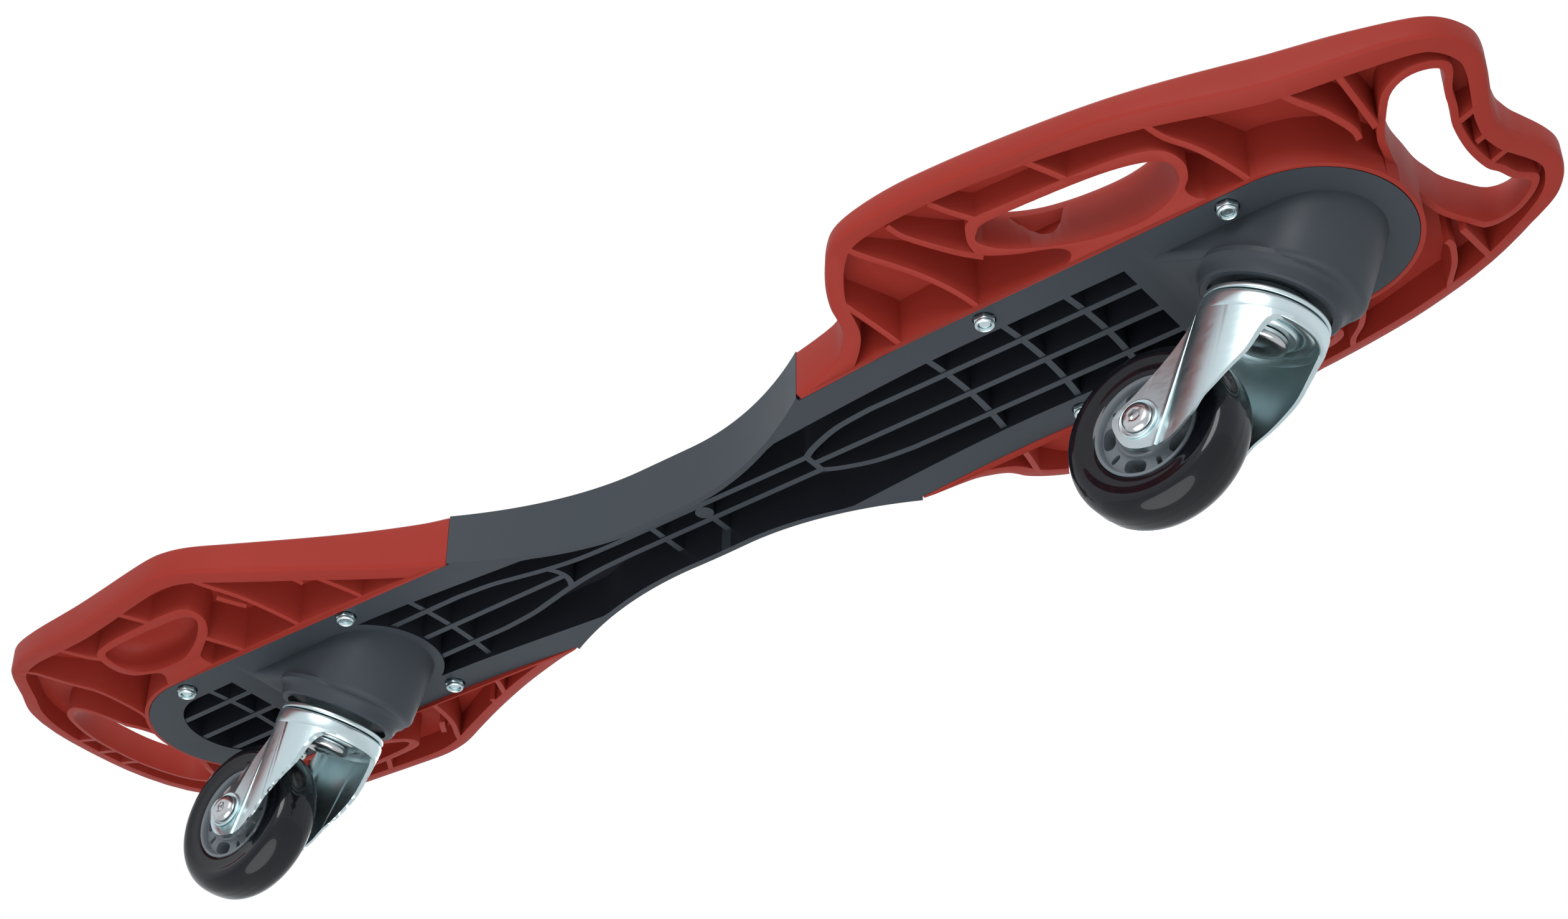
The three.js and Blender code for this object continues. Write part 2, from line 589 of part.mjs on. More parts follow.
// One deck moulding: a thin plate with a rim, a lip around the frame, ribs and walled openings
function deckBody(end) {
  const outline = deckOutline(end);
  const topAt = (x, drop) => FLANGE_Z + deckTopAt(end, x) - drop;
  const level = (points, drop) => points.map(([x, y]) => [x, y, topAt(x, drop)]);
  const eased = inset(outline, EDGE_ROUND * ROUND_SHARE);
  const crest = inset(outline, EDGE_ROUND);
  const shell = ringLoft([
    atHeight(outline, FLANGE_Z - OVERRUN), level(outline, EDGE_ROUND),
    level(eased, EDGE_ROUND * ROUND_SHARE), level(crest, -GAP), atHeight(crest, CLEAR_TOP_Z),
  ]).intersect(below(end, (x) => deckTopAt(end, x)));

  const start = end.seam - end.dir * OVERRUN;
  const ceiling = below(end, (x) => deckTopAt(end, x) - DECK_SKIN);
  const upright = (points) => prism(points, FLANGE_Z - OVERRUN, CLEAR_TOP_Z);
  const ribShares = end === FRONT ? FRONT_RIB_SHARES : REAR_RIB_SHARES;
  const ribs = SIDES.flatMap((side) => ribShares.map((rib) => upright(
    band(rib.map((share) => deckPoint(end, share, side)), DECK_RIB),
  )));
  const hole = tipHole(end);
  const walls = SIDES.map((side) => upright(
    end === FRONT ? holdMouth(side, 2 * RING_WALL) : blindOval(side, 2 * RING_WALL),
  ));
  const tipRibs = TIP_RIB_SHARES.map((share) => upright(band(
    [tipPoint(end, [TIP_RIB_START_SHARE, share], 1), tipPoint(end, [1, share], 1)], DECK_RIB,
  )));
  const hollow = without(upright(inset(outline, RIM)), [
    upright(tongueOutline(end, GAP + LIP, start)), upright(inset(hole, -RING_WALL)),
    ...ribs, ...walls, ...tipRibs,
  ]);
  const openings = SIDES.map((side) => (end === FRONT ? handHold(side) : blindPocket(side)));
  const bosses = boltPlaces(end).map(([x, y]) => moved(
    rod(DECK_BOSS_RADIUS, -DECK_SKIN - DECK_BOSS_DROP, -DECK_SKIN / 2), x, y, topAt(x, 0),
  ));
  const seats = boltPlaces(end).map(([x, y]) => moved(
    rod(DECK_BOLT_HEAD_RADIUS + GAP, 0, CLEAR_TOP_Z), x, y, FLANGE_Z + headSeatAt(end, x),
  ));
  const bores = boltPlaces(end).map(([x, y]) => moved(
    rod(DECK_BOLT_RADIUS + GAP, 0, CLEAR_TOP_Z, SCREW_STEPS), x, y, 0,
  ));
  const plate = without(shell, [
    hollow.intersect(ceiling), upright(tongueOutline(end, GAP, start)).intersect(ceiling),
    spaceUnder(end), upright(hole), ...openings,
  ]);
  return without(joined([plate, ...bosses]), [...seats, ...bores]);
}

// The caster housing's plan, measured square to the swivel axis
function housingPlan(drawn, stretch) {
  const half = HOUSING_WIDTH / 2 - drawn;
  const front = HOUSING_REACH - HOUSING_ROUND;
  const arc = steps(-Math.PI / 2, Math.PI / 2, ARC_STEPS).map((angle) => [
    (front + (HOUSING_ROUND - drawn) * Math.cos(angle)) * stretch, half * Math.sin(angle),
  ]);
  return [[-HOUSING_BACK * stretch, -half], ...arc, [-HOUSING_BACK * stretch, half]];
}

const swivelMatrix = (end) => new THREE.Matrix4().makeRotationY(RAKE).setPosition(end.swivel, 0, FLANGE_Z);

function housing(end) {
  const base = -PAD_DROP;
  const body = ringLoft([
    atHeight(housingPlan(HOUSING_FILLET, 1), base),
    atHeight(housingPlan(HOUSING_FILLET * ROUND_SHARE, 1), base + HOUSING_FILLET * ROUND_SHARE),
    atHeight(housingPlan(0, 1), base + HOUSING_FILLET), atHeight(housingPlan(0, 1), HOUSING_BACK),
  ]);
  const waist = (COLLAR_RADIUS + COLLAR_MOUTH_RADIUS) / 2;
  const collar = turned([
    [0, COLLAR_MOUTH_Z], [COLLAR_MOUTH_RADIUS - 2 * GAP, COLLAR_MOUTH_Z],
    [COLLAR_MOUTH_RADIUS, COLLAR_MOUTH_Z + 2 * GAP], [waist - GAP, base - COLLAR_HEIGHT / 3],
    [COLLAR_RADIUS, base], [COLLAR_RADIUS, base + LIP], [0, base + LIP],
  ]);
  return placed(joined([body, collar]), swivelMatrix(end)).intersect(below(end, () => RIB / 2));
}

function swivelCuts(end) {
  const cuts = [
    rod(RECESS_RADIUS, COLLAR_MOUTH_Z - OVERRUN, RECESS_Z, TURN_STEPS),
    rod(KINGPIN_RADIUS + GAP, COLLAR_MOUTH_Z - OVERRUN, FLANGE_Z),
    rod(NUT_POCKET_RADIUS, NUT_SEAT_RISE, FLANGE_Z),
  ];
  return cuts.map((cut) => placed(cut, swivelMatrix(end)));
}

// Windows moulded up into the frame from below, and the ribs left standing in them
const windowHalf = (end, x) => Math.min(WINDOW_WIDTH / 2, frameHalfAt(end, x) - SKIRT);
const padX = (end) => end.swivel - HOUSING_BACK / Math.cos(RAKE) - WINDOW_PAD;

function neckWindow(end) {
  const start = NECK_MID_X - end.dir * OVERRUN;
  const stop = end === FRONT ? padX(end) : end.swivel + (HOUSING_REACH - HOUSING_ROUND) / Math.cos(RAKE);
  const turn = stop - end.dir * RIB_BOW;
  const xs = [...steps(start, end.seam, NECK_STEPS), turn];
  const half = xs.map((x) => [x, windowHalf(end, x)]);
  half.push([stop, windowHalf(end, stop) - RIB_BOW]);
  return turningLeft([...half, ...half.map(([x, y]) => [x, -y]).reverse()]);
}

function tailWindow() {
  const centre = REAR.tongue + TONGUE_HALF;
  const reach = TONGUE_HALF - TAIL_WALL;
  const arc = steps(-Math.PI / 2, Math.PI / 2, ARC_STEPS).map((angle) => [
    centre - reach * Math.cos(angle), WINDOW_WIDTH / 2 * Math.sin(angle),
  ]);
  return turningLeft([[padX(REAR), -WINDOW_WIDTH / 2], ...arc, [padX(REAR), WINDOW_WIDTH / 2]]);
}

function bowedRib(x) {
  return band(steps(-1, 1, BOW_STEPS).map((share) => [
    x - RIB_BOW * share * share, share * TONGUE_HALF,
  ]), RIB);
}

function frameRibs(end) {
  const bridge = end.seam - end.dir * BRIDGE_SHARE * end.flare;
  const start = NECK_MID_X - end.dir * OVERRUN;
  const spread = end.seam + end.dir * RIB_SPREAD_SHARE * end.deckLength;
  const cross = end === FRONT ? FRONT_CROSS_RIB_SHARES : REAR_CROSS_RIB_SHARES;
  const lines = SIDES.flatMap((side) => {
    const inner = side * NECK_RIB_SPACING / 2;
    const outer = side * LONG_RIB_SPACING;
    const first = [[start, inner], [bridge, inner]];
    const last = [[end === FRONT ? spread : bridge, outer], [end.tongue, outer]];
    return end === FRONT ? [band([...first, ...last], RIB)] : [band(first, RIB), band(last, RIB)];
  });
  const neckX = NECK_MID_X + end.dir * NECK_CROSS_RIB_SPACING / 2;
  lines.push(band([[bridge, 0], [end.tongue, 0]], RIB));
  const bars = cross.map((share) => bowedRib(end.seam + end.dir * share * end.deckLength));
  bars.push(bowedRib(bridge), band([[neckX, -TONGUE_HALF], [neckX, TONGUE_HALF]], RIB));
  const ribs = [
    ...lines.map((line) => prism(line, FLANGE_Z + RIB_RISE, CLEAR_TOP_Z)),
    ...bars.map((line) => prism(line, FLANGE_Z + CROSS_RIB_RISE, CLEAR_TOP_Z)),
  ];
  const boss = moved(rod(NECK_BOSS_RADIUS, RIB_RISE, NECK_TOP), neckX, 0, FLANGE_Z);
  return end === FRONT ? joined([...ribs, boss]) : joined(ribs);
}

function frameBody(end) {
  const low = FLANGE_Z - NECK_BELLY - OVERRUN;
  const xs = steps(NECK_MID_X + end.dir * GAP / 2, end.seam - end.dir * GAP / 2, NECK_STEPS);
  const edge = xs.map((x) => [x, neckHalfAt(end, x)]);
  const neckPlan = turningLeft([...edge, ...edge.map(([x, y]) => [x, -y]).reverse()]);
  const neck = prism(neckPlan, low, FLANGE_Z + NECK_TOP);
  const top = (x) => deckTopAt(end, x) - DECK_SKIN - GAP;
  const tongue = prism(tongueOutline(end, 0, end.seam - end.dir * LIP), low, CLEAR_TOP_Z);
  const blank = joined([neck, tongue.intersect(below(end, top))]).subtract(below(end, bellyAt));

  const upright = (points) => prism(points, low, CLEAR_TOP_Z);
  const casterPlan = upright(housingPlan(-LEDGE, 1 / Math.cos(RAKE)).map(([x, y]) => [x + end.swivel, y]));
  const plans = end === FRONT ? [neckWindow(end)] : [neckWindow(end), tailWindow()];
  const windows = without(joined(plans.map(upright)), [casterPlan, frameRibs(end)]);
  const bolts = boltPlaces(end).flatMap(([x, y]) => [
    moved(rod(DECK_BOLT_RADIUS + GAP, 0, CLEAR_TOP_Z, SCREW_STEPS), x, y, 0),
    moved(rod(NUT_RECESS_RADIUS, -OVERRUN, NUT_RECESS), x, y, FLANGE_Z),
    moved(rod(DECK_BOSS_RADIUS + GAP, -DECK_BOSS_DROP, OVERRUN), x, y, FLANGE_Z + top(x)),
  ]);
  const cut = without(blank, [windows.intersect(below(end, (x) => top(x) - FRAME_SKIN)), ...bolts]);
  return without(joined([cut, housing(end)]), swivelCuts(end));
}

// Screws that hold the decks down, and their nuts under the frame
function deckBolt(end, [x, y]) {
  const head = headSeatAt(end, x) + GAP;
  const foot = NUT_RECESS - GAP - DECK_NUT_HEIGHT - BOLT_END;
  const crest = DECK_BOLT_HEAD_RADIUS - DECK_BOLT_HEAD * ROUND_SHARE;
  return moved(turned([
    [0, foot], [DECK_BOLT_RADIUS, foot], [DECK_BOLT_RADIUS, head], [DECK_BOLT_HEAD_RADIUS, head],
    [DECK_BOLT_HEAD_RADIUS, head + DECK_BOLT_HEAD / 2], [crest, head + DECK_BOLT_HEAD - GAP],
    [0, head + DECK_BOLT_HEAD - GAP],
  ], SCREW_STEPS), x, y, FLANGE_Z);
}

function deckNut([x, y]) {
  const top = NUT_RECESS - GAP;
  const blank = hexRod(DECK_NUT_FLATS, top - DECK_NUT_HEIGHT, top);
  const bore = rod(DECK_BOLT_RADIUS + GAP, -OVERRUN, OVERRUN, SCREW_STEPS);
  return moved(blank.subtract(bore), x, y, FLANGE_Z);
}

// The swivel: a fixed race, balls, and the fork's pressed crown
const groove = (sign, from, to) => steps(from, to, GROOVE_STEPS).map((angle) => [
  BALL_CIRCLE_RADIUS + sign * GROOVE_RADIUS * Math.cos(angle), BALL_Z + GROOVE_RADIUS * Math.sin(angle),
]);

function upperRace() {
  const edge = Math.asin((RACE_LOW_Z - BALL_Z) / GROOVE_RADIUS);
  const bore = KINGPIN_RADIUS + GAP;
  return turned([
    [bore, RACE_LOW_Z], ...groove(-1, edge, Math.PI - edge), [RACE_RADIUS + GAP, RACE_LOW_Z],
    [RACE_RADIUS, -RACE_DROP], [RACE_HUB_RADIUS, -RACE_DROP], [RACE_HUB_RADIUS, RECESS_Z - GAP],
    [bore, RECESS_Z - GAP],
  ]);
}

function crown() {
  const edge = Math.asin((CROWN_Z - BALL_Z) / GROOVE_RADIUS);
  const bore = KINGPIN_RADIUS + GAP;
  const under = CROWN_Z - SHEET;
  const bulge = BALL_Z - GROOVE_RADIUS - SHEET;
  return turned([
    [bore, CROWN_Z], [bore, under], [LOWER_RACE_RADIUS + 2 * GAP, under],
    [BALL_CIRCLE_RADIUS - GROOVE_RADIUS, bulge], [BALL_CIRCLE_RADIUS + GROOVE_RADIUS, bulge],
    [SKIRT_RADIUS - SHEET, under - GAP], [SKIRT_RADIUS - SHEET, SKIRT_Z], [SKIRT_RADIUS, SKIRT_Z],
    [CROWN_RADIUS, SKIRT_Z + SHEET], [CROWN_RADIUS, CROWN_Z - 2 * GAP], [CROWN_RADIUS - 2 * GAP, CROWN_Z],
    ...groove(1, edge, -Math.PI - edge),
  ]);
}

// A leg hangs round from the crown's skirt and flattens towards the axle, its front edge curled outwards
function forkLeg(side) {
  const rise = AXLE_DROP + SKIRT_Z;
  const flat = LEG_INNER + SHEET;
  const radius = SKIRT_RADIUS - 2 * GAP;
  const rows = LEG_ROW_SHARES.map(([height, rear, front, curl]) => {
    const follow = smooth(height * rise, LEG_FLAT, rise * LEG_ROUND_SHARE);
    const outer = LEG_COLUMN_SHARES.map((share) => {
      const u = (rear + (front - rear) * share) * FORK_TRAIL - FORK_TRAIL;
      const round = Math.sqrt(radius * radius - Math.min(u * u, radius * radius * follow));
      const lip = curl * LEG_LIP * smooth(share, ...LEG_CURL_SHARES);
      return [u, THREE.MathUtils.lerp(flat, round, follow) + lip];
    });
    const inner = band(outer, 2 * SHEET).slice(0, outer.length);
    const plan = [...inner, ...[...outer].reverse()];
    return atHeight(turningLeft(plan.map(([x, y]) => [x, side * y])), height * rise - AXLE_DROP);
  });
  return ringLoft(rows);
}

function fork() {
  const axle = rod(AXLE_RADIUS + GAP, -WHEEL_RADIUS, WHEEL_RADIUS);
  const across = new THREE.Matrix4().makeRotationX(Math.PI / 2).setPosition(-FORK_TRAIL, 0, -AXLE_DROP);
  return joined([crown(), ...SIDES.map(forkLeg)]).subtract(placed(axle, across));
}

// The balls run round together, held in a thin cage
function swivelBalls() {
  const ball = toSolid(new THREE.SphereGeometry(BALL_RADIUS, BALL_STEPS, BALL_RINGS).rotateX(Math.PI / 2));
  const [middle, half] = [BALL_CIRCLE_RADIUS, CAGE_WIDTH / 2];
  const cage = washer(
    middle + half, middle - half, BALL_Z - CAGE_THICKNESS / 2, BALL_Z + CAGE_THICKNESS / 2, 2 * BALL_COUNT,
  );
  return joined([cage, ...steps(0, 2 * Math.PI, BALL_COUNT).slice(1).map((angle) => moved(
    ball, middle * Math.cos(angle), middle * Math.sin(angle), BALL_Z,
  ))]);
}

function kingpin() {
  const top = NUT_SEAT_RISE + KINGPIN_WASHER + KINGPIN_NUT_HEIGHT + 2 * GAP + KINGPIN_END;
  const head = hexRod(KINGPIN_HEAD_FLATS, HEAD_Z - KINGPIN_HEAD, HEAD_Z);
  return joined([head, rod(KINGPIN_RADIUS, HEAD_Z - KINGPIN_HEAD / 2, top)]);
}

function kingpinNut() {
  const seat = NUT_SEAT_RISE + GAP + KINGPIN_WASHER + GAP;
  const bore = rod(KINGPIN_RADIUS + GAP, seat - OVERRUN, seat + KINGPIN_NUT_HEIGHT + OVERRUN);
  return hexRod(KINGPIN_NUT_FLATS, seat, seat + KINGPIN_NUT_HEIGHT).subtract(bore);
}

// The wheel is turned about its axle: positive heights lie towards the near side
function tyre() {
  const seat = HUB_RADIUS + GAP;
  const section = TYRE_SECTION_SHARES.map(([depth, width]) => [
    seat + (WHEEL_RADIUS - seat) * depth, WHEEL_WIDTH / 2 * width,
  ]);
  const side = [[seat, HUB_HALF], ...section, [WHEEL_RADIUS, TYRE_CROWN_WIDTH / 2]];
  return turned([...side, ...side.map(([r, z]) => [r, -z]).reverse()], TYRE_STEPS);
}

function hub() {
  const rim = HUB_RADIUS - HUB_RING;
  const seat = BEARING_RADIUS + GAP;
  const shoulder = seat - HUB_SHOULDER;
  const stop = HUB_HALF - BEARING_WIDTH - GAP;
  const blank = turned([
    [seat, HUB_HALF], [HUB_CORE_RADIUS, HUB_HALF], [HUB_CORE_RADIUS, HUB_WEB / 2], [rim, HUB_WEB / 2],
    [rim, HUB_HALF], [HUB_RADIUS, HUB_HALF], [HUB_RADIUS, -HUB_HALF], [rim, -HUB_HALF],
    [rim, -HUB_WEB / 2], [HUB_CORE_RADIUS, -HUB_WEB / 2], [HUB_CORE_RADIUS, -HUB_HALF],
    [seat, -HUB_HALF], [seat, -stop], [shoulder, -stop], [shoulder, stop], [seat, stop],
  ], HUB_STEPS);
  const turn = 2 * Math.PI / SPOKE_COUNT;
  const windows = steps(0, 2 * Math.PI, SPOKE_COUNT).slice(1).map((middle) => {
    const arc = (radius, sign) => steps(-1, 1, SPOKE_ARC_STEPS).map((share) => {
      const angle = middle + sign * share * (turn / 2 - SPOKE_WIDTH / 2 / radius);
      return [radius * Math.cos(angle), radius * Math.sin(angle)];
    });
    const plan = [...arc(HUB_CORE_RADIUS + WEB_FILLET, 1), ...arc(rim - WEB_FILLET, -1)];
    return prism(plan, -HUB_WEB, HUB_WEB);
  });
  return without(blank, windows);
}

const bearingOuter = () => washer(
  BEARING_RADIUS, INNER_RING_RADIUS + GAP, HUB_HALF - BEARING_WIDTH, HUB_HALF, HUB_STEPS,
);
const bearingInner = () => washer(
  INNER_RING_RADIUS, BEARING_BORE_RADIUS, HUB_HALF - BEARING_WIDTH, HUB_HALF, ROD_STEPS,
);
const wheelWasher = () => washer(
  WHEEL_WASHER_RADIUS, AXLE_RADIUS + GAP, HUB_HALF + GAP, LEG_INNER - GAP, ROD_STEPS,
);
const axleWasher = () => washer(
  AXLE_WASHER_RADIUS, AXLE_RADIUS + GAP, WASHER_SEAT, WASHER_SEAT + AXLE_WASHER, ROD_STEPS,
);

function bearingSpacer() {
  const half = HUB_HALF - BEARING_WIDTH - GAP;
  return washer(SPACER_RADIUS, BEARING_BORE_RADIUS, -half, half, ROD_STEPS);
}

function axleBolt() {
  const top = HEAD_SEAT + AXLE_HEAD;
  const foot = -HEAD_SEAT - AXLE_NUT_HEIGHT - AXLE_END;
  const blank = turned([
    [0, foot], [AXLE_RADIUS, foot], [AXLE_RADIUS, HEAD_SEAT], [AXLE_HEAD_RADIUS, HEAD_SEAT],
    [AXLE_HEAD_RADIUS, HEAD_SEAT + AXLE_HEAD / 3], [AXLE_HEAD_RADIUS * AXLE_CREST_SHARE, top], [0, top],
  ], ROD_STEPS);
  return blank.subtract(hexRod(AXLE_SOCKET_FLATS, top - AXLE_SOCKET_DEPTH, top + OVERRUN));
}

function axleNut() {
  const far = -HEAD_SEAT - AXLE_NUT_HEIGHT;
  return hexRod(AXLE_NUT_FLATS, far, -HEAD_SEAT).subtract(rod(AXLE_RADIUS + GAP, far - OVERRUN, -HUB_HALF));
}

// Materials and the scene
function finish(name, color, roughness, metalness) {
  const made = new THREE.MeshStandardMaterial({ color, roughness, metalness });
  made.name = name;
  return made;
}

const RED_DECK = finish('red_deck', 0xab4238, 0.45, 0);
const GREY_FRAME = finish('grey_frame', 0x464c53, 0.5, 0);
const ZINC = finish('zinc', 0xc9d3d6, 0.25, 0.9);
const BRIGHT_STEEL = finish('bright_steel', 0xd8dadc, 0.2, 0.95);
const GREY_HUB = finish('grey_hub', 0x6d7478, 0.45, 0);
const BLACK_TYRE = finish('black_tyre', 0x16161b, 0.15, 0);

function piece(name, body, material) {
  const mesh = new THREE.Mesh(toGeometry(body), material);
  mesh.name = name;
  return mesh;
}

function caster(end) {
  const swivel = new THREE.Group();
  swivel.position.set(end.swivel, 0, FLANGE_Z);
  swivel.rotation.y = RAKE;
  const named = (name, body, material) => piece(`${end.name}_${name}`, body, material);
  const washerZ = NUT_SEAT_RISE + GAP;
  swivel.add(
    named('kingpin', kingpin(), BRIGHT_STEEL),
    named('kingpin_nut', kingpinNut(), BRIGHT_STEEL),
    named('kingpin_washer', washer(
      KINGPIN_WASHER_RADIUS, KINGPIN_RADIUS + GAP, washerZ, washerZ + KINGPIN_WASHER, ROD_STEPS,
    ), ZINC),
    named('upper_race', upperRace(), ZINC),
    named('swivel_balls', swivelBalls(), BRIGHT_STEEL),
    named('lower_race', washer(
      LOWER_RACE_RADIUS, KINGPIN_RADIUS + GAP, LOWER_RACE_Z - LOWER_RACE_THICKNESS, LOWER_RACE_Z,
    ), ZINC),
    named('fork', fork(), ZINC),
  );
  const wheel = new THREE.Group();
  wheel.position.set(-FORK_TRAIL, 0, -AXLE_DROP);
  wheel.rotation.x = Math.PI / 2;
  wheel.add(
    named('axle_bolt', axleBolt(), BRIGHT_STEEL),
    named('axle_nut', axleNut(), BRIGHT_STEEL),
    named('bearing_spacer', bearingSpacer(), BRIGHT_STEEL),
    named('hub', hub(), GREY_HUB),
    named('tyre', tyre(), BLACK_TYRE),
  );
  ['near', 'far'].forEach((where, i) => {
    const half = new THREE.Group();
    half.rotation.x = i * Math.PI;
    half.add(
      named(`axle_washer_${where}`, axleWasher(), ZINC),
      named(`wheel_washer_${where}`, wheelWasher(), BRIGHT_STEEL),
      named(`bearing_inner_${where}`, bearingInner(), BRIGHT_STEEL),
      named(`bearing_outer_${where}`, bearingOuter(), BRIGHT_STEEL),
    );
    wheel.add(half);
  });
  swivel.add(wheel);
  return swivel;
}

const board = new THREE.Group();
[FRONT, REAR].forEach((end) => {
  board.add(
    piece(`frame_${end.name}`, frameBody(end), GREY_FRAME),
    piece(`deck_${end.name}`, deckBody(end), RED_DECK),
    ...boltPlaces(end).map((place, i) => piece(`deck_bolt_${end.name}_${i + 1}`, deckBolt(end, place), ZINC)),
    ...boltPlaces(end).map((place, i) => piece(`deck_nut_${end.name}_${i + 1}`, deckNut(place), ZINC)),
    caster(end),
  );
});

export default board;
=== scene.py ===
# %% [markdown]
# # A caster board, hung up with its underside to the camera
# Two red decks sit on one grey ribbed moulding, whose narrow neck twists under the rider's feet. Under each
# deck an inclined caster carries a hard wheel. This lesson dresses the solid model: it loads the model as a
# frame, sets up the photographer's camera and lights, and then models each part that shows, part by part.

# %% Load the frame
import json
import math

import bmesh
import bpy
from mathutils import Matrix, Vector


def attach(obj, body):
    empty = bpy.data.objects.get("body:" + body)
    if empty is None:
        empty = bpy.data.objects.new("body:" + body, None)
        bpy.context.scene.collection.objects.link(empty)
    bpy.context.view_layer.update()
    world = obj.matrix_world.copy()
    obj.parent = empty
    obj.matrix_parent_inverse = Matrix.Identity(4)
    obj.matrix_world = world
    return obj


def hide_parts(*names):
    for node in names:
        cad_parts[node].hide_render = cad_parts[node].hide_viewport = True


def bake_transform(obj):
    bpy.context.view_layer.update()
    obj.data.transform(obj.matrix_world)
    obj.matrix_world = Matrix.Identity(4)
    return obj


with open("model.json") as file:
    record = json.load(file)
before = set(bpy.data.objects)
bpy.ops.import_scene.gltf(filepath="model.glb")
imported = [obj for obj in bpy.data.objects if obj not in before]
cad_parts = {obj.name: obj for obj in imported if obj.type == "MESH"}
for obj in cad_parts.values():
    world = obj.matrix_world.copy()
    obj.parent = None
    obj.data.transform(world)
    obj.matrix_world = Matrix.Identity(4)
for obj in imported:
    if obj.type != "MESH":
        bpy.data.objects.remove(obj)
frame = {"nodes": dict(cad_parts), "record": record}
bpy.context.view_layer.update()

# %% [markdown]
# ## Sizes
# A maker draws in millimetres, and Blender works in metres, so one number turns the first into the second.
# Heights are counted from the flat underside of the grey frame, where most parts meet, and lengths from the
# middle of the board. Each end of the board is one table of sizes, so that one function can make both decks.

# %% Sizes of the board
MM = 0.001
FLANGE = 99.256
RAKE = math.radians(24.5)
GAP, LIP, SKIN, FRAME_SKIN = 0.3, 2.0, 3.0, 2.6
DECK_EDGE, DECK_RIB, FRAME_RIB = 1.6, 2.5, 3.0
TONGUE_HALF = 43.5
SEAM_HALF = TONGUE_HALF + GAP + LIP
NECK_HALF, NECK_TOP, NECK_BELLY = 20.0, 21.0, 9.3
NECK_MID = -4.0
FRONT = dict(name="front", way=1, tip=401.0, seam=95.0, tongue=351.0, reach=50.0, length=306.0, half=98.0,
             top=26.8, rim_rise=15.2, rim_span=46.0, lift=3.5, lift_length=68.0, flare=77.0, swivel=299.0,
             rise=(0.0, 0.32), bolts=(294.0, 183.0), brim=2.4, foot=2.9, trim=9.0)
REAR = dict(name="rear", way=-1, tip=-401.0, seam=-103.0, tongue=-330.0, reach=71.0, length=298.0, half=101.5,
            top=26.5, rim_rise=12.6, rim_span=54.0, lift=8.6, lift_length=99.0, flare=91.0, swivel=-205.0,
            rise=(0.0, 0.46), bolts=(-283.0, -175.0), brim=-0.2, foot=-0.4, trim=5.0)
ENDS = (FRONT, REAR)
TRAIL, AXLE_DROP = 32.0, 81.9
DECK_BOLT_OUT, WINDOW_HALF, PAST = 37.0, 28.5, 12.0
THROUGH = (-25, 75)
print("board length in mm:", FRONT["tip"] - REAR["tip"])

# %% [markdown]
# ## Curves
# An outline is a short list of places, given as shares of a deck's length and half its width. A smooth curve
# through them gives the moulding its line. Drawing it in code keeps both halves of the board alike, which
# pulling points about by eye wouldn't.


# %% Smooth lines, outlines moved inwards, and bands along a line
def spread(low, high, count):
    return [low + (high - low) * i / count for i in range(count + 1)]


def eased(points, per_span=4, closed=False):
    """A smooth line through every point."""
    count = len(points)
    last = count if closed else count - 1
    pick = (lambda i: points[i % count]) if closed else (lambda i: points[min(max(i, 0), count - 1)])
    line = []
    for i in range(last):
        p, q, r, s = (Vector(pick(i + k)) for k in (-1, 0, 1, 2))
        for k in range(per_span):
            t = k / per_span
            line.append(tuple(
                0.5 * (2 * q + (r - p) * t + (2 * p - 5 * q + 4 * r - s) * t * t
                       + (3 * q - p - 3 * r + s) * t ** 3)))
    return line if closed else line + [tuple(points[-1])]


def area(points):
    return sum(p[0] * q[1] - q[0] * p[1] for p, q in zip(points, points[1:] + points[:1])) / 2


def inset(points, distance):
    """The outline moved inwards, its points still in the same order."""
    sign = 1 if area(points) > 0 else -1
    moved = []
    for i, p in enumerate(points):
        q, r = points[i - 1], points[(i + 1) % len(points)]
        before, after = Vector((p[0] - q[0], p[1] - q[1])), Vector((r[0] - p[0], r[1] - p[1]))
        before, after = before.normalized(), after.normalized()
        n, m = sign * Vector((-before.y, before.x)), sign * Vector((-after.y, after.x))
        push = (n + m) * distance / (1 + n.dot(m))
        moved.append((p[0] + push.x, p[1] + push.y))
    return moved


def band(line, thickness):
    """A closed strip of one thickness along a line."""
    sides = ([], [])
    for i, p in enumerate(line):
        q, r = line[max(i - 1, 0)], line[min(i + 1, len(line) - 1)]
        along = Vector((r[0] - q[0], r[1] - q[1])).normalized()
        for side, sign in zip(sides, (-1, 1)):
            side.append((p[0] - sign * along.y * thickness / 2, p[1] + sign * along.x * thickness / 2))
    return sides[0] + sides[1][::-1]


def arc(x, y, rx, ry, low, high, count):
    return [(x + rx * math.cos(a), y + ry * math.sin(a)) for a in spread(low, high, count)]


def smooth(x, low, high):
    share = min(1.0, max(0.0, (x - low) / (high - low)))
    return share * share * (3 - 2 * share)


# %% [markdown]
# ## Heights along the board
# The decks rise a little from the neck, lift at the nose and tail so that a foot feels their ends, and the
# frame's belly sags below its flat underside at the neck, where it needs the depth to stand the twisting.


# %% Heights of the decks and the frame
def lift_at(end, x):
    share = max(0.0, (x - end["tip"] + end["way"] * end["lift_length"]) * end["way"] / end["lift_length"])
    return end["lift"] * share * share


def deck_top(end, x):
    share = (x - end["seam"]) * end["way"] / end["length"]
    return NECK_TOP + (end["top"] - NECK_TOP) * smooth(share, *end["rise"]) + lift_at(end, x)


def end_at(x):
    return FRONT if x > NECK_MID else REAR


def belly(x):
    end = end_at(x)
    reach = abs(end["seam"] - NECK_MID) + end["flare"]
    return -NECK_BELLY * (1 - smooth(abs(x - NECK_MID), 0, reach))


def neck_half(end, x):
    share = min(1.0, max(0.0, 1 - (end["seam"] - x) * end["way"] / end["flare"]))
    return NECK_HALF + (SEAM_HALF - NECK_HALF) * share ** 1.9


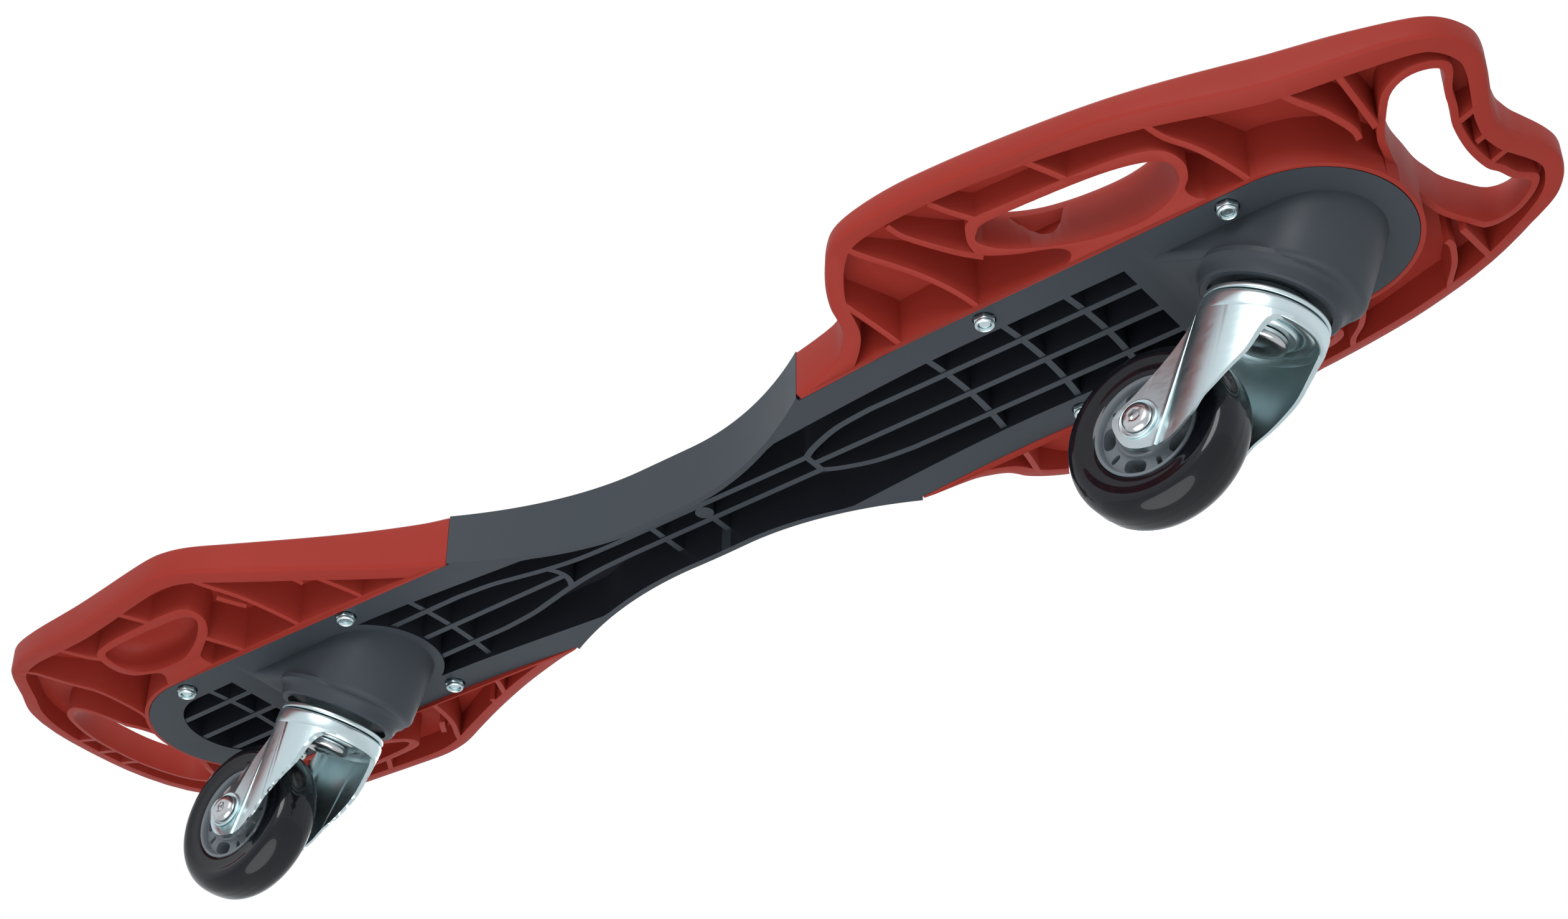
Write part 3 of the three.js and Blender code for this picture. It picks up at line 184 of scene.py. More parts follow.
print("deck tops in mm:", [round(FLANGE + deck_top(end, 0.8 * end["tip"]), 1) for end in ENDS])

# %% [markdown]
# ## Modelling by hand, in code
# Every part below starts as a primitive that is extruded, spun, cut or joined by Blender's own operators. An
# operator acts on whatever is selected, so each helper clears the selection first. A cut or a joint between
# two bodies is a Boolean modifier that is applied at once, as one would do with the mouse.


# %% Helpers that extrude, spin, cut and join
def only(*pieces):
    if bpy.context.object and bpy.context.object.mode != "OBJECT":
        bpy.ops.object.mode_set(mode="OBJECT")
    bpy.ops.object.select_all(action="DESELECT")
    for piece in pieces:
        piece.select_set(True)
    bpy.context.view_layer.objects.active = pieces[0] if pieces else None


def place(p, where=None):
    spot = Vector((p[0], p[1], p[2] if len(p) > 2 else 0.0))
    spot = where @ spot if where else spot + Vector((0, 0, FLANGE))
    return spot * MM


def lofted(name, rings, where=None):
    """A filled circle laid on the first ring, then extruded from ring to ring."""
    only()
    bpy.ops.mesh.primitive_circle_add(vertices=len(rings[0]), fill_type="NGON")
    piece = bpy.context.object
    piece.name = piece.data.name = name
    for vertex, p in zip(piece.data.vertices, rings[0]):
        vertex.co = place(p, where)
    bpy.ops.object.mode_set(mode="EDIT")
    bpy.ops.mesh.select_mode(type="VERT")
    bpy.ops.mesh.select_all(action="SELECT")
    order = list(range(len(rings[0])))
    for ring in rings[1:]:
        bpy.ops.mesh.extrude_region_move()
        mesh = bmesh.from_edit_mesh(piece.data)
        mesh.verts.ensure_lookup_table()
        follow = {}
        for vertex in mesh.verts:
            if vertex.select:
                for edge in vertex.link_edges:
                    other = edge.other_vert(vertex)
                    if not other.select:
                        follow[other.index] = vertex.index
        order = [follow[i] for i in order]
        for i, p in zip(order, ring):
            mesh.verts[i].co = place(p, where)
        bmesh.update_edit_mesh(piece.data)
    bpy.ops.mesh.select_all(action="SELECT")
    bpy.ops.mesh.normals_make_consistent(inside=False)
    bpy.ops.object.mode_set(mode="OBJECT")
    return piece


def level(points, z):
    return [(p[0], p[1], z(p) if callable(z) else z) for p in points]


def slab(name, points, low, high, where=None):
    return lofted(name, [level(points, low), level(points, high)], where)


def plug(name, profile, where, steps=96):
    """A round body from circles of given radii and heights, whole right through its axis."""
    return lofted(name, [level(arc(0, 0, r, r, 0, math.tau, steps)[1:], z) for r, z in profile], where)


def across(name, line, low=-60.0, half=130.0):
    """The board's whole width under a line of lengths and heights."""
    profile = [(line[0][0], low), *line, (line[-1][0], low)]
    return lofted(name, [[(x, side * half, z) for x, z in profile] for side in (-1, 1)])


def turned(name, profile, where, steps=96):
    """A closed profile of radii and heights, spun about an axis."""
    only()
    bpy.ops.mesh.primitive_circle_add(vertices=len(profile), fill_type="NOTHING")
    piece = bpy.context.object
    piece.name = piece.data.name = name
    for vertex, (radius, z) in zip(piece.data.vertices, profile):
        vertex.co = (radius * MM, 0, z * MM)
    bpy.ops.object.mode_set(mode="EDIT")
    bpy.ops.mesh.select_all(action="SELECT")
    bpy.ops.mesh.spin(steps=steps, angle=2 * math.pi, center=(0, 0, 0), axis=(0, 0, 1))
    bpy.ops.mesh.select_all(action="SELECT")
    bpy.ops.mesh.remove_doubles(threshold=1e-6)
    bpy.ops.mesh.dissolve_degenerate(threshold=1e-7)
    bpy.ops.mesh.select_all(action="SELECT")
    bpy.ops.mesh.normals_make_consistent(inside=False)
    bpy.ops.object.mode_set(mode="OBJECT")
    piece.data.transform(Matrix.Scale(MM, 4) @ where @ Matrix.Scale(1 / MM, 4))
    return piece


def modify(piece, kind, **settings):
    only(piece)
    bpy.ops.object.modifier_add(type=kind)
    modifier = piece.modifiers[-1]
    for key, value in settings.items():
        setattr(modifier, key, value)
    bpy.ops.object.modifier_apply(modifier=modifier.name)


def worked(piece, operation, tools):
    for tool in tools:
        modify(piece, "BOOLEAN", operation=operation, object=tool, solver="EXACT")
        bpy.data.objects.remove(tool)
    return piece


def cut(piece, *tools):
    return worked(piece, "DIFFERENCE", tools)


def keep(piece, *tools):
    return worked(piece, "INTERSECT", tools)


def join(piece, *others):
    return worked(piece, "UNION", others)


def grouped(piece, *others):
    """Several bodies as one object, without cutting them into each other."""
    only(piece, *others)
    bpy.ops.object.join()
    return piece


def softened(piece, width=0.5, segments=2, degrees=32):
    """Edges rounded as a mould leaves them, and smooth shading between them."""
    modify(piece, "BEVEL", width=width * MM, segments=segments, limit_method="ANGLE",
           angle_limit=math.radians(degrees), use_clamp_overlap=True, miter_outer="MITER_ARC")
    only(piece)
    bpy.ops.object.shade_smooth_by_angle(angle=math.radians(38))
    return piece


# %% [markdown]
# ## Camera
# The photographer lay below the board and looked up at it. The place and the turn of the camera were worked
# out from the ellipses of both wheels and the long straight edges of the frame. The lens is as long as the
# real one, so that the far deck shrinks as it does in the photograph.

# %% The camera at the photograph's angle
PHOTO_WIDTH = 2520
FOCAL_PIXELS = 4288.7
right, up = Vector((0.79378, 0.60821, 0.00073)), Vector((0.36002, -0.47083, 0.80542))
bpy.ops.object.camera_add()
camera = bpy.context.object
camera.name = "photo_camera"
camera.matrix_world = Matrix.Translation((0.62269, -0.74184, -0.57883)) @ Matrix(
    (right, up, right.cross(up))).transposed().to_4x4()
camera.data.sensor_width = 36
camera.data.lens = FOCAL_PIXELS / PHOTO_WIDTH * camera.data.sensor_width
camera.data.clip_start = 0.02
bpy.context.scene.camera = camera
print("lens in mm:", round(camera.data.lens, 2))

# %% [markdown]
# ## Light
# The board hangs in an even white studio. One large soft lamp on the near side brightens the walls that face
# it, a wide lamp from below keeps the underside readable, one above lights the tops, and one behind draws the
# far edges. The pale floor lies far below, so that it doesn't hide the board from a camera underneath. The
# background is white only where the camera sees it, so that it doesn't wash out the shading.

# %% Studio lamps, the pale floor and the background
TARGET = Vector((0.0, 0.0, 0.09))


def soft_lamp(name, direction, distance, width, power):
    away = Vector(direction).normalized()
    bpy.ops.object.light_add(type="AREA", location=TARGET + away * distance)
    lamp = bpy.context.object
    lamp.name = name
    lamp.rotation_euler = away.to_track_quat("Z", "Y").to_euler()
    lamp.data.shape = "DISK"
    lamp.data.size = width
    lamp.data.energy = power
    lamp.visible_camera = False


soft_lamp("key_lamp", (0.45, -1.0, 0.25), 2.2, 1.1, 17)
soft_lamp("under_lamp", (0.1, -0.35, -1.0), 0.95, 1.1, 5)
soft_lamp("edge_lamp", (-0.6, 0.9, 0.6), 2.2, 0.9, 10)
soft_lamp("top_lamp", (-0.1, -0.1, 1.0), 2.2, 1.4, 14)

bpy.ops.mesh.primitive_plane_add(size=60, location=(0, 0, -4))
floor = bpy.context.object
floor.name = "pale_floor"

world = bpy.data.worlds.new("studio")
bpy.context.scene.world = world
world.use_nodes = True
sky = world.node_tree.nodes
seen, lit = sky["Background"], sky.new("ShaderNodeBackground")
seen.inputs["Color"].default_value = (1, 1, 1, 1)
lit.inputs["Color"].default_value = (0.93, 0.96, 1, 1)
lit.inputs["Strength"].default_value = 0.8
ray, blend = sky.new("ShaderNodeLightPath"), sky.new("ShaderNodeMixShader")
world.node_tree.links.new(ray.outputs["Is Camera Ray"], blend.inputs[0])
world.node_tree.links.new(lit.outputs[0], blend.inputs[1])
world.node_tree.links.new(seen.outputs[0], blend.inputs[2])
world.node_tree.links.new(blend.outputs[0], sky["World Output"].inputs["Surface"])
bpy.context.scene.view_settings.view_transform = "Standard"

# %% [markdown]
# ## Finishes
# Every finish is built from nodes and reads Object coordinates, so it lies on the part in real millimetres
# and stays there when the part moves. A noise that is bent into a Bump node gives the spark-eroded grain of
# moulded plastic; one stretched along a direction gives the drawn marks of pressed sheet.


# %% Shader sums written as sums
class Wire:
    """A socket's value, so that 1 - mask adds the node that takes it away from one."""

    def __init__(self, finish, socket):
        self.finish, self.socket = finish, socket

    def sum(self, operation, *values):
        return self.finish.node("ShaderNodeMath", {"operation": operation}, dict(enumerate(values)))

    def __add__(self, other):
        return self.sum("ADD", self, other)

    def __sub__(self, other):
        return self.sum("SUBTRACT", self, other)

    def __rsub__(self, other):
        return self.sum("SUBTRACT", other, self)

    def __mul__(self, other):
        return self.sum("MULTIPLY", self, other)

    __radd__, __rmul__ = __add__, __mul__


class Finish:
    """A material, and one way to add any node to it."""

    def __init__(self, name, **values):
        self.material = bpy.data.materials.new(name)
        self.material.use_nodes = True
        self.tree = self.material.node_tree
        self.shader = self.tree.nodes["Principled BSDF"]
        for socket, value in values.items():
            self.shader.inputs[socket.replace("_", " ")].default_value = value

    def link(self, value, socket):
        if isinstance(value, Wire):
            self.tree.links.new(value.socket, socket)
        else:
            socket.default_value = value

    def node(self, kind, settings=None, values=None, output=0):
        made = self.tree.nodes.new(kind)
        for key, value in (settings or {}).items():
            setattr(made, key, value)
        for key, value in (values or {}).items():
            self.link(value, made.inputs[key])
        return Wire(self, made.outputs[output])

    def place(self, scale=(1, 1, 1)):
        spot = self.node("ShaderNodeTexCoord", output="Object")
        return self.node("ShaderNodeMapping", {}, {"Vector": spot, "Scale": scale})

    def noise(self, scale, detail=3.0, stretch=(1, 1, 1), roughness=0.5):
        return self.node("ShaderNodeTexNoise", {}, {
            "Vector": self.place(stretch), "Scale": scale, "Detail": detail, "Roughness": roughness})

    def between(self, factor, low, high):
        return self.node("ShaderNodeMapRange", {}, {"Value": factor, "To Min": low, "To Max": high})

    def colours(self, factor, first, second):
        mixed = self.node("ShaderNodeMix", {"data_type": "RGBA"}, {0: factor}, output=2)
        mix = mixed.socket.node
        self.link((*first, 1), mix.inputs[6])
        self.link((*second, 1), mix.inputs[7])
        return mixed

    def bump(self, height, depth_mm, strength=1.0):
        normal = self.node("ShaderNodeBump", {}, {
            "Height": height, "Distance": depth_mm * MM, "Strength": strength})
        self.link(normal, self.shader.inputs["Normal"])

    def paint(self, **values):
        for socket, value in values.items():
            self.link(value, self.shader.inputs[socket.replace("_", " ")])
        return self


# %% [markdown]
# The decks are red polypropylene: satin, faintly mottled where the mould filled, with a fine grain. The
# treads on their tops carry rows of low pips that hold a shoe. The frame is a stiffer grey plastic. Inside
# its windows the steel cores leave smooth walls, so these get a glossier finish of their own, and its much
# darker colour is painted shade for the little light that reaches them.

# %% Plastics
red = Finish("red_plastic", Specular_IOR_Level=0.18, IOR=1.48)
mottle = red.noise(22.0, 4.0)
grain = red.noise(2600.0, 2.0)
red.paint(Base_Color=red.colours(mottle, (0.295, 0.027, 0.017), (0.335, 0.033, 0.022)),
          Roughness=red.between(red.noise(60.0, 3.0), 0.42, 0.56))
red.bump(grain, 0.02, 0.5)

tread = Finish("red_tread", Specular_IOR_Level=0.25, IOR=1.48)
spot = tread.node("ShaderNodeSeparateXYZ", {}, {0: tread.place((1 / 0.009, 1 / 0.009, 1))})
column = Wire(tread, spot.socket.node.outputs[1])
pip = (spot * math.tau).sum("SINE", spot * math.tau) * column.sum("SINE", column * math.tau)
pip = pip.sum("SMOOTH_MAX", pip, 0.25, 0.2)
tread.paint(Base_Color=tread.colours(tread.noise(25.0), (0.28, 0.026, 0.017), (0.315, 0.032, 0.021)),
            Roughness=tread.between(tread.noise(90.0), 0.42, 0.58))
tread.bump(pip, 0.9, 0.9)

grey = Finish("grey_plastic", Specular_IOR_Level=0.25, IOR=1.5)
grey.paint(Base_Color=grey.colours(grey.noise(18.0, 4.0), (0.037, 0.045, 0.054), (0.044, 0.054, 0.065)),
           Roughness=grey.between(grey.noise(70.0), 0.38, 0.52))
grey.bump(grey.noise(2200.0, 2.0), 0.03, 0.5)

# Window walls: the lower roughness is the cores' smooth finish, and the darker base colour is painted shade.
core_smooth_and_painted_shade = Finish("grey_core_smooth_painted_shade", Specular_IOR_Level=0.4, IOR=1.5)
patches = core_smooth_and_painted_shade.noise(18.0, 4.0)
core_smooth_and_painted_shade.paint(Base_Color=core_smooth_and_painted_shade.colours(patches, (0.014, 0.016, 0.021), (0.019, 0.021, 0.027)),
                Roughness=core_smooth_and_painted_shade.between(core_smooth_and_painted_shade.noise(90.0), 0.24, 0.36))

hub_grey = Finish("hub_plastic", Roughness=0.42, IOR=1.5)
patches = hub_grey.noise(60.0)
hub_grey.paint(Base_Color=hub_grey.colours(patches, (0.125, 0.148, 0.165), (0.155, 0.178, 0.195)))
hub_grey.bump(hub_grey.noise(1800.0), 0.02, 0.4)

# %% [markdown]
# The tyres are cast polyurethane: black, deep and wet-looking, so they get a clear coat over a dark body.
# The forks are pressed sheet with bright zinc, whose passivation tints it slightly blue-green; faint drawn
# marks and a mottled gloss keep it from looking like chrome.

# %% Tyre and metals
tyre_black = Finish("tyre_black", Specular_IOR_Level=0.1, IOR=1.5, Coat_Weight=0.6, Coat_Roughness=0.02)
patches = tyre_black.noise(40.0)
tyre_black.paint(Base_Color=tyre_black.colours(patches, (0.003, 0.003, 0.005), (0.006, 0.006, 0.009)),
                 Roughness=tyre_black.between(tyre_black.noise(160.0, 4.0), 0.2, 0.34))

zinc = Finish("bright_zinc", Metallic=1.0, Roughness=0.2)
zinc.paint(Base_Color=zinc.colours(zinc.noise(45.0, 4.0), (0.58, 0.78, 0.81), (0.82, 0.89, 0.90)),
           Roughness=zinc.between(zinc.noise(140.0, 5.0, (1, 1, 4)), 0.22, 0.40))
zinc.bump(zinc.noise(320.0, 4.0, (1, 1, 5)), 0.05, 0.25)

steel = Finish("bright_steel", Metallic=1.0, Roughness=0.2)
steel.paint(Base_Color=steel.colours(steel.noise(90.0), (0.60, 0.61, 0.62), (0.72, 0.73, 0.73)),
            Roughness=steel.between(steel.noise(300.0, 4.0), 0.12, 0.28))

paper = Finish("pale_paper", Roughness=0.9)
paper.paint(Base_Color=paper.colours(paper.noise(6.0), (0.80, 0.80, 0.79), (0.83, 0.83, 0.82)))
floor.data.materials.append(paper.material)

FINISHES = {"red_deck": red, "grey_frame": grey, "grey_hub": hub_grey, "black_tyre": tyre_black,
            "zinc": zinc, "bright_steel": steel}
SLOT_OF = {row["node"]: row["material_slot"] for row in frame["record"]["subparts"]}
for node, solid in frame["nodes"].items():
    solid.data.materials.clear()
    solid.data.materials.append(FINISHES[SLOT_OF[node]].material)
print("finishes:", len(FINISHES))


# %% Helper that gives a piece its finish and its body, and hides the solids it stands for; given a bend instead of a body name, it bakes the piece's place into its mesh and gives it no body
def dressed(piece, slot_name, body, *nodes):
    if not piece.data.materials:
        piece.data.materials.append(FINISHES[slot_name].material)
    if isinstance(body, str):
        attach(piece, body)
    else:
        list(body[:2])
        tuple(body[2])
        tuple(body[3])
        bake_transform(piece)
    if nodes:
        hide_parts(*nodes)
    print(piece.name, len(piece.data.polygons), "faces")
    return piece


# %% [markdown]
# ## Decks
# A deck is one injection moulding: a thin plate with an outer rim, a lip round the frame, and ribs and walled
# openings under it. The quickest way to the same walls everywhere is to do what the mould does. A full block
# with rounded edges is cut to the height of the top, and then the cores are taken out of it from below, where
# each core is the inside of the rim less the ribs and walls that stand in it. The frame's pocket is cut first
# and the cores last, so that each Boolean meets clean walls.

# %% Outlines, ribs and holes of the decks, as shares of their length and half width
FRONT["outline"] = [
    (0.072, 0.5), (0.111, 0.592), (0.119, 0.694), (0.134, 0.796), (0.167, 0.918), (0.209, 0.98), (0.301, 1),
    (0.435, 0.974), (0.572, 0.918), (0.673, 0.847), (0.775, 0.755), (0.859, 0.684), (0.936, 0.592),
    (0.973, 0.517), (0.993, 0.417), (0.998, 0.33), (0.99, 0.224), (0.974, 0.092), (0.969, 0)]
REAR["outline"] = [
    (0.039, 0.485), (0.154, 0.618), (0.272, 0.776), (0.349, 0.887), (0.396, 0.956), (0.44, 0.995),
    (0.49, 1), (0.594, 0.966), (0.668, 0.943), (0.758, 0.921), (0.826, 0.887), (0.866, 0.837),
    (0.893, 0.759), (0.926, 0.631), (0.96, 0.512), (0.983, 0.374), (0.997, 0.197), (1, 0)]
FRONT["ribs"] = [
    [(0.294, 0.42), (0.294, 0.474), (0.278, 0.588), (0.25, 0.718), (0.206, 0.878), (0.193, 0.939)],
    [(0.17, 0.42), (0.17, 0.477), (0.151, 0.651), (0.137, 0.765)],
    [(0.345, 0.645), (0.316, 0.718), (0.273, 0.861), (0.261, 0.939)],
    [(0.368, 0.798), (0.343, 0.882), (0.327, 0.949)],
    [(0.501, 0.782), (0.487, 0.845), (0.467, 0.929)],
    [(0.695, 0.408), (0.695, 0.474), (0.667, 0.651), (0.637, 0.767), (0.624, 0.857)],
    [(0.833, 0.367), (0.833, 0.423), (0.818, 0.543), (0.795, 0.657), (0.784, 0.724)],
    [(0.856, 0.367), (0.856, 0.433), (0.854, 0.614), (0.853, 0.673)]]
REAR["ribs"] = [
    [(0.726, 0.296), (0.726, 0.365), (0.752, 0.542), (0.795, 0.653), (0.848, 0.806), (0.859, 0.837)],
    [(0.672, 0.72), (0.695, 0.763), (0.728, 0.854), (0.748, 0.906)],
    [(0.532, 0.772), (0.567, 0.896), (0.581, 0.946)],
    [(0.444, 0.394), (0.444, 0.453), (0.483, 0.607)],
    [(0.32, 0.394), (0.32, 0.46), (0.355, 0.687), (0.394, 0.851), (0.409, 0.926)],
    [(0.182, 0.394), (0.182, 0.461), (0.213, 0.615), (0.228, 0.69)],
    [(0.395, 0.759), (0.38, 0.701), (0.365, 0.651)],
    [(0.257, 0.696), (0.251, 0.666), (0.246, 0.632)]]
FRONT["mouth"] = [
    (0.35, 0.715), (0.356, 0.76), (0.374, 0.785), (0.449, 0.775), (0.536, 0.752), (0.589, 0.722),
    (0.619, 0.684), (0.627, 0.64), (0.62, 0.572), (0.595, 0.522), (0.555, 0.494), (0.515, 0.499),
    (0.467, 0.527), (0.42, 0.575), (0.375, 0.642)]
FRONT["mouth_top"] = [
    (0.352, 0.69), (0.362, 0.725), (0.382, 0.745), (0.449, 0.745), (0.53, 0.735), (0.58, 0.712),
    (0.607, 0.675), (0.615, 0.63), (0.608, 0.575), (0.583, 0.528), (0.545, 0.5), (0.505, 0.497),
    (0.455, 0.515), (0.41, 0.553), (0.37, 0.622)]
FRONT["land"] = [
    (0.338, 0.7), (0.343, 0.76), (0.36, 0.81), (0.418, 0.806), (0.536, 0.785), (0.595, 0.76),
    (0.628, 0.715), (0.64, 0.64), (0.634, 0.58), (0.621, 0.535), (0.63, 0.48), (0.66, 0.42), (0.53, 0.4),
    (0.4, 0.42), (0.44, 0.475), (0.446, 0.515), (0.43, 0.552), (0.382, 0.6), (0.345, 0.655)]
REAR["mouth"] = [
    (0.662, 0.741), (0.633, 0.761), (0.577, 0.763), (0.522, 0.757), (0.478, 0.745), (0.462, 0.7),
    (0.487, 0.625), (0.521, 0.57), (0.556, 0.542), (0.608, 0.549), (0.643, 0.588), (0.662, 0.66)]
REAR["land"] = [
    (0.676, 0.76), (0.63, 0.795), (0.564, 0.8), (0.511, 0.802), (0.462, 0.782), (0.448, 0.7),
    (0.466, 0.615), (0.501, 0.55), (0.519, 0.508), (0.515, 0.42), (0.57, 0.4), (0.62, 0.42), (0.607, 0.52),
    (0.655, 0.575), (0.678, 0.65)]
FRONT["hole"] = [
    (0.03, 0), (0.03, 0.102), (0.06, 0.184), (0.1, 0.265), (0.2, 0.357), (0.32, 0.442), (0.48, 0.462),
    (0.64, 0.429), (0.71, 0.378), (0.63, 0.296), (0.59, 0.214), (0.54, 0.143), (0.516, 0)]
REAR["hole"] = [
    (0.05, 0), (0.08, 0.148), (0.16, 0.276), (0.282, 0.394), (0.394, 0.433), (0.535, 0.384),
    (0.62, 0.286), (0.676, 0.158), (0.69, 0)]


def deck_point(end, share, side):
    return end["seam"] + end["way"] * share[0] * end["length"], side * share[1] * end["half"]


def tip_point(end, share, side=1):
    return end["tongue"] + end["way"] * share[0] * end["reach"], side * share[1] * end["half"]


def coarse_outline(end, flare=0.0):
    half = [(end["seam"] + end["way"] * GAP / 2, SEAM_HALF)]
    for share in end["outline"]:
        x, y = deck_point(end, share, 1)
        half.append((x, y + share[1] * flare))
    line = eased(half, 2)
    del line[1]
    return line + [(x, -y) for x, y in line[-2::-1]]


def tip_hole(end, grow=0.0):
    half = [tip_point(end, share) for share in end["hole"]]
    loop = half + [(x, -y) for x, y in half[-2:0:-1]]
    return eased(inset(loop, -grow) if grow else loop, 4, closed=True)


def tongue(end, grow, start):
    radius, centre = TONGUE_HALF + grow, end["tongue"] - end["way"] * TONGUE_HALF
    return [(start, -radius), *arc(centre, 0, end["way"] * radius, radius, -math.pi / 2, math.pi / 2, 48),
            (start, radius)]


def stations(end, gap=6.0):
    low, high = sorted((NECK_MID - end["way"] * PAST, end["tip"] + end["way"] * PAST))
    return spread(low, high, round((high - low) / gap))


def under_height(end, name, height):
    return across(name, [(x, height(x)) for x in stations(end)])


# %% [markdown]
# The space under a deck starts level with the frame beside the lip and climbs outwards to the foot of the
# rim, so the deck is deep in the middle and thin at its edge. Its surface is lofted through the frame's own
# rounded outline, grown step by step.


# %% The space under a deck
def space_under(end):
    start, centre = end["seam"] - end["way"] * PAST, end["tongue"] - end["way"] * TONGUE_HALF
    straight = [*spread(start, end["seam"] + end["way"] * end["flare"], 12), centre]

    def plan(grow):
        radius = TONGUE_HALF + grow
        bend = arc(centre, 0, end["way"] * radius, radius, -math.pi / 2, math.pi / 2, 32)[1:-1]
        return [(x, -radius) for x in straight] + bend + [(x, radius) for x in straight[::-1]]

    def top(grow, rise):
        return [(x, y, belly(x) + rise + lift_at(end, x)) for x, y in plan(grow)]

    inner = GAP + LIP
    return lofted(f"under_{end['name']}", [
        level(plan(200), -99), top(200, end["rim_rise"]), top(inner + end["rim_span"], end["rim_rise"]),
        top(inner, 0)])


# %% [markdown]
# Each front hand hold goes right through, with a wall round it that widens into a flat land beside the frame.
# The rear deck has the same place filled by a shallow dish. Both are drawn as closed lines on one side of the
# board and mirrored.


# %% Hand holds and the dishes under the rear deck
def deck_plan(end, shares, side):
    return eased([deck_point(end, share, side) for share in shares], 4, closed=True)


def hand_hold(side):
    mouth, hole = deck_plan(FRONT, FRONT["mouth"], side), deck_plan(FRONT, FRONT["mouth_top"], side)
    return lofted("hold", [level(mouth, -20), level(mouth, 4), level(hole, 24), level(hole, 60)])


def blind_dish(side):
    mouth = deck_plan(REAR, REAR["mouth"], side)
    middle = Vector(deck_point(REAR, (0.57, 0.66), side))
    rings = [level(mouth, -20), level(mouth, 8)]
    for share, z in ((0.95, 12.5), (0.86, 15.2), (0.7, 16.7), (0.5, 17.4), (0.25, 17.8)):
        rings.append(level([tuple(middle.lerp(Vector(p), share)) for p in mouth], z))
    return lofted("dish", rings)


# %% Mould one deck
def rim_foot(end, p):
    """The height of the space under the deck, where the rim stands over it."""
    beyond = max(0.0, (p[0] - end["tongue"]) * end["way"] + TONGUE_HALF)
    share = (math.hypot(beyond, p[1]) - TONGUE_HALF - GAP - LIP) / end["rim_span"]
    return belly(p[0]) + lift_at(end, p[0]) + end["rim_rise"] * min(1.0, max(0.0, share))


def moulded_deck(end):
    brim, foot = (coarse_outline(end, end[edge]) for edge in ("brim", "foot"))
    top = lambda drop: (lambda p: deck_top(end, p[0]) - drop)
    rim_low = lambda rise: (lambda p: rim_foot(end, p) + rise)
    rings = [level(eased(inset(foot, 1.2)), -20), level(eased(inset(foot, 1.2)), rim_low(0.3)),
             level(eased(inset(foot, 0.5)), rim_low(1.1)), level(eased(foot), rim_low(2.2)),
             level(eased(brim), top(DECK_EDGE))]
    for turn in spread(0, math.pi / 2, 4)[1:]:
        edge = eased(inset(brim, DECK_EDGE * (1 - math.cos(turn))))
        rings.append(level(edge, top(DECK_EDGE * (1 - math.sin(turn)) - 0.01)))
    rings.append(level(eased(inset(brim, DECK_EDGE)), 70))
    deck = lofted(f"deck_{end['name']}_moulding", rings)
    keep(deck, under_height(end, "top", lambda x: deck_top(end, x)))

    ceiling = lambda: under_height(end, "ceiling", lambda x: deck_top(end, x) - SKIN)
    pocket = slab("pocket", tongue(end, GAP, end["seam"] - end["way"] * PAST), -20, 70)
    cut(deck, keep(pocket, ceiling()), space_under(end), slab("tip_hole", tip_hole(end), *THROUGH))
    trim = slab("trim", tip_hole(end, 3.2), -25, end["trim"])
    cut(deck, cut(trim, slab("lip", tongue(end, GAP + LIP, end["seam"] - end["way"] * PAST), -30, 75)))
    core = slab("core", eased(inset(foot, 7.5)), -20, 70)
    cut(core, slab("tongue", tongue(end, GAP + LIP, end["seam"] - end["way"] * PAST), *THROUGH),
        slab("hole_wall", tip_hole(end, 3), *THROUGH))
    for side in (1, -1):
        cut(core, slab("land", deck_plan(end, end["land"], side), *THROUGH))
        for rib in end["ribs"]:
            line = eased([deck_point(end, share, side) for share in rib])
            cut(core, slab("rib", band(line, DECK_RIB), *THROUGH))
    for share in (-0.14, 0, 0.14):
        line = [tip_point(end, (0.6, share)), tip_point(end, (1, share))]
        cut(core, slab("tip_rib", band(line, DECK_RIB), *THROUGH))
    cut(deck, keep(core, ceiling()))
    for side in (1, -1):
        cut(deck, hand_hold(side) if end is FRONT else blind_dish(side))
    for x in end["bolts"]:
        for side in (1, -1):
            ring = arc(x, side * DECK_BOLT_OUT, 5.3, 5.3, 0, math.tau, 32)[1:]
            cut(deck, slab("seat", ring, deck_top(end, x) - 2.6, 70))
    return deck


for end in ENDS:
    deck = moulded_deck(end)
    softened(deck, 0.45)
    deck.data.materials.append(red.material)
    deck.data.materials.append(tread.material)
    for face in deck.data.polygons:
        high = face.center.z > (FLANGE + deck_top(end, face.center.x / MM) - 0.8) * MM
        face.material_index = int(high and face.normal.z > 0.96)
    dressed(deck, "red_deck", f"{end['name']}_half", f"deck_{end['name']}")

# %% [markdown]
# ## Frame
# The frame is one long moulding that runs from the tail to the nose, narrow at the neck so that it can twist.
# Cores leave open windows under it, with long ribs and bowed cross ribs standing in them. The solids split it
# at the neck, because a rigid model needs a hinge there; here it is one skin again.

# %% The frame's blank and its caster housings
HOUSING_DEPTH = 18.2
BACK = HOUSING_DEPTH / math.tan(RAKE)


def raked(end):
    return Matrix.Translation((end["swivel"], 0, FLANGE)) @ Matrix.Rotation(RAKE, 4, "Y")


def housing_plan(drawn, stretch=1.0):
    half, front = 28.5 - drawn, 11.0
    bend = [((front + (26 - drawn) * math.cos(a)) * stretch, half * math.sin(a))
            for a in spread(-math.pi / 2, math.pi / 2, 40)]
    return [(-BACK * stretch, -half), *bend, (-BACK * stretch, half)]


def housing(end):
    where = raked(end)
    steps = (3, -HOUSING_DEPTH), (1.5, -17.8), (0.5, -16.8), (0, -15.2), (0, BACK)
    body = lofted("housing", [level(housing_plan(drawn), z) for drawn, z in steps], where)
    collar = plug("collar", [
        (27.3, -24.8), (28.2, -24), (28.9, -20.8), (30, -19), (31.6, -18.1), (31.6, -16)], where)
    return keep(join(body, collar), across("flat", [(-360, 1.3), (400, 1.3)], -99))


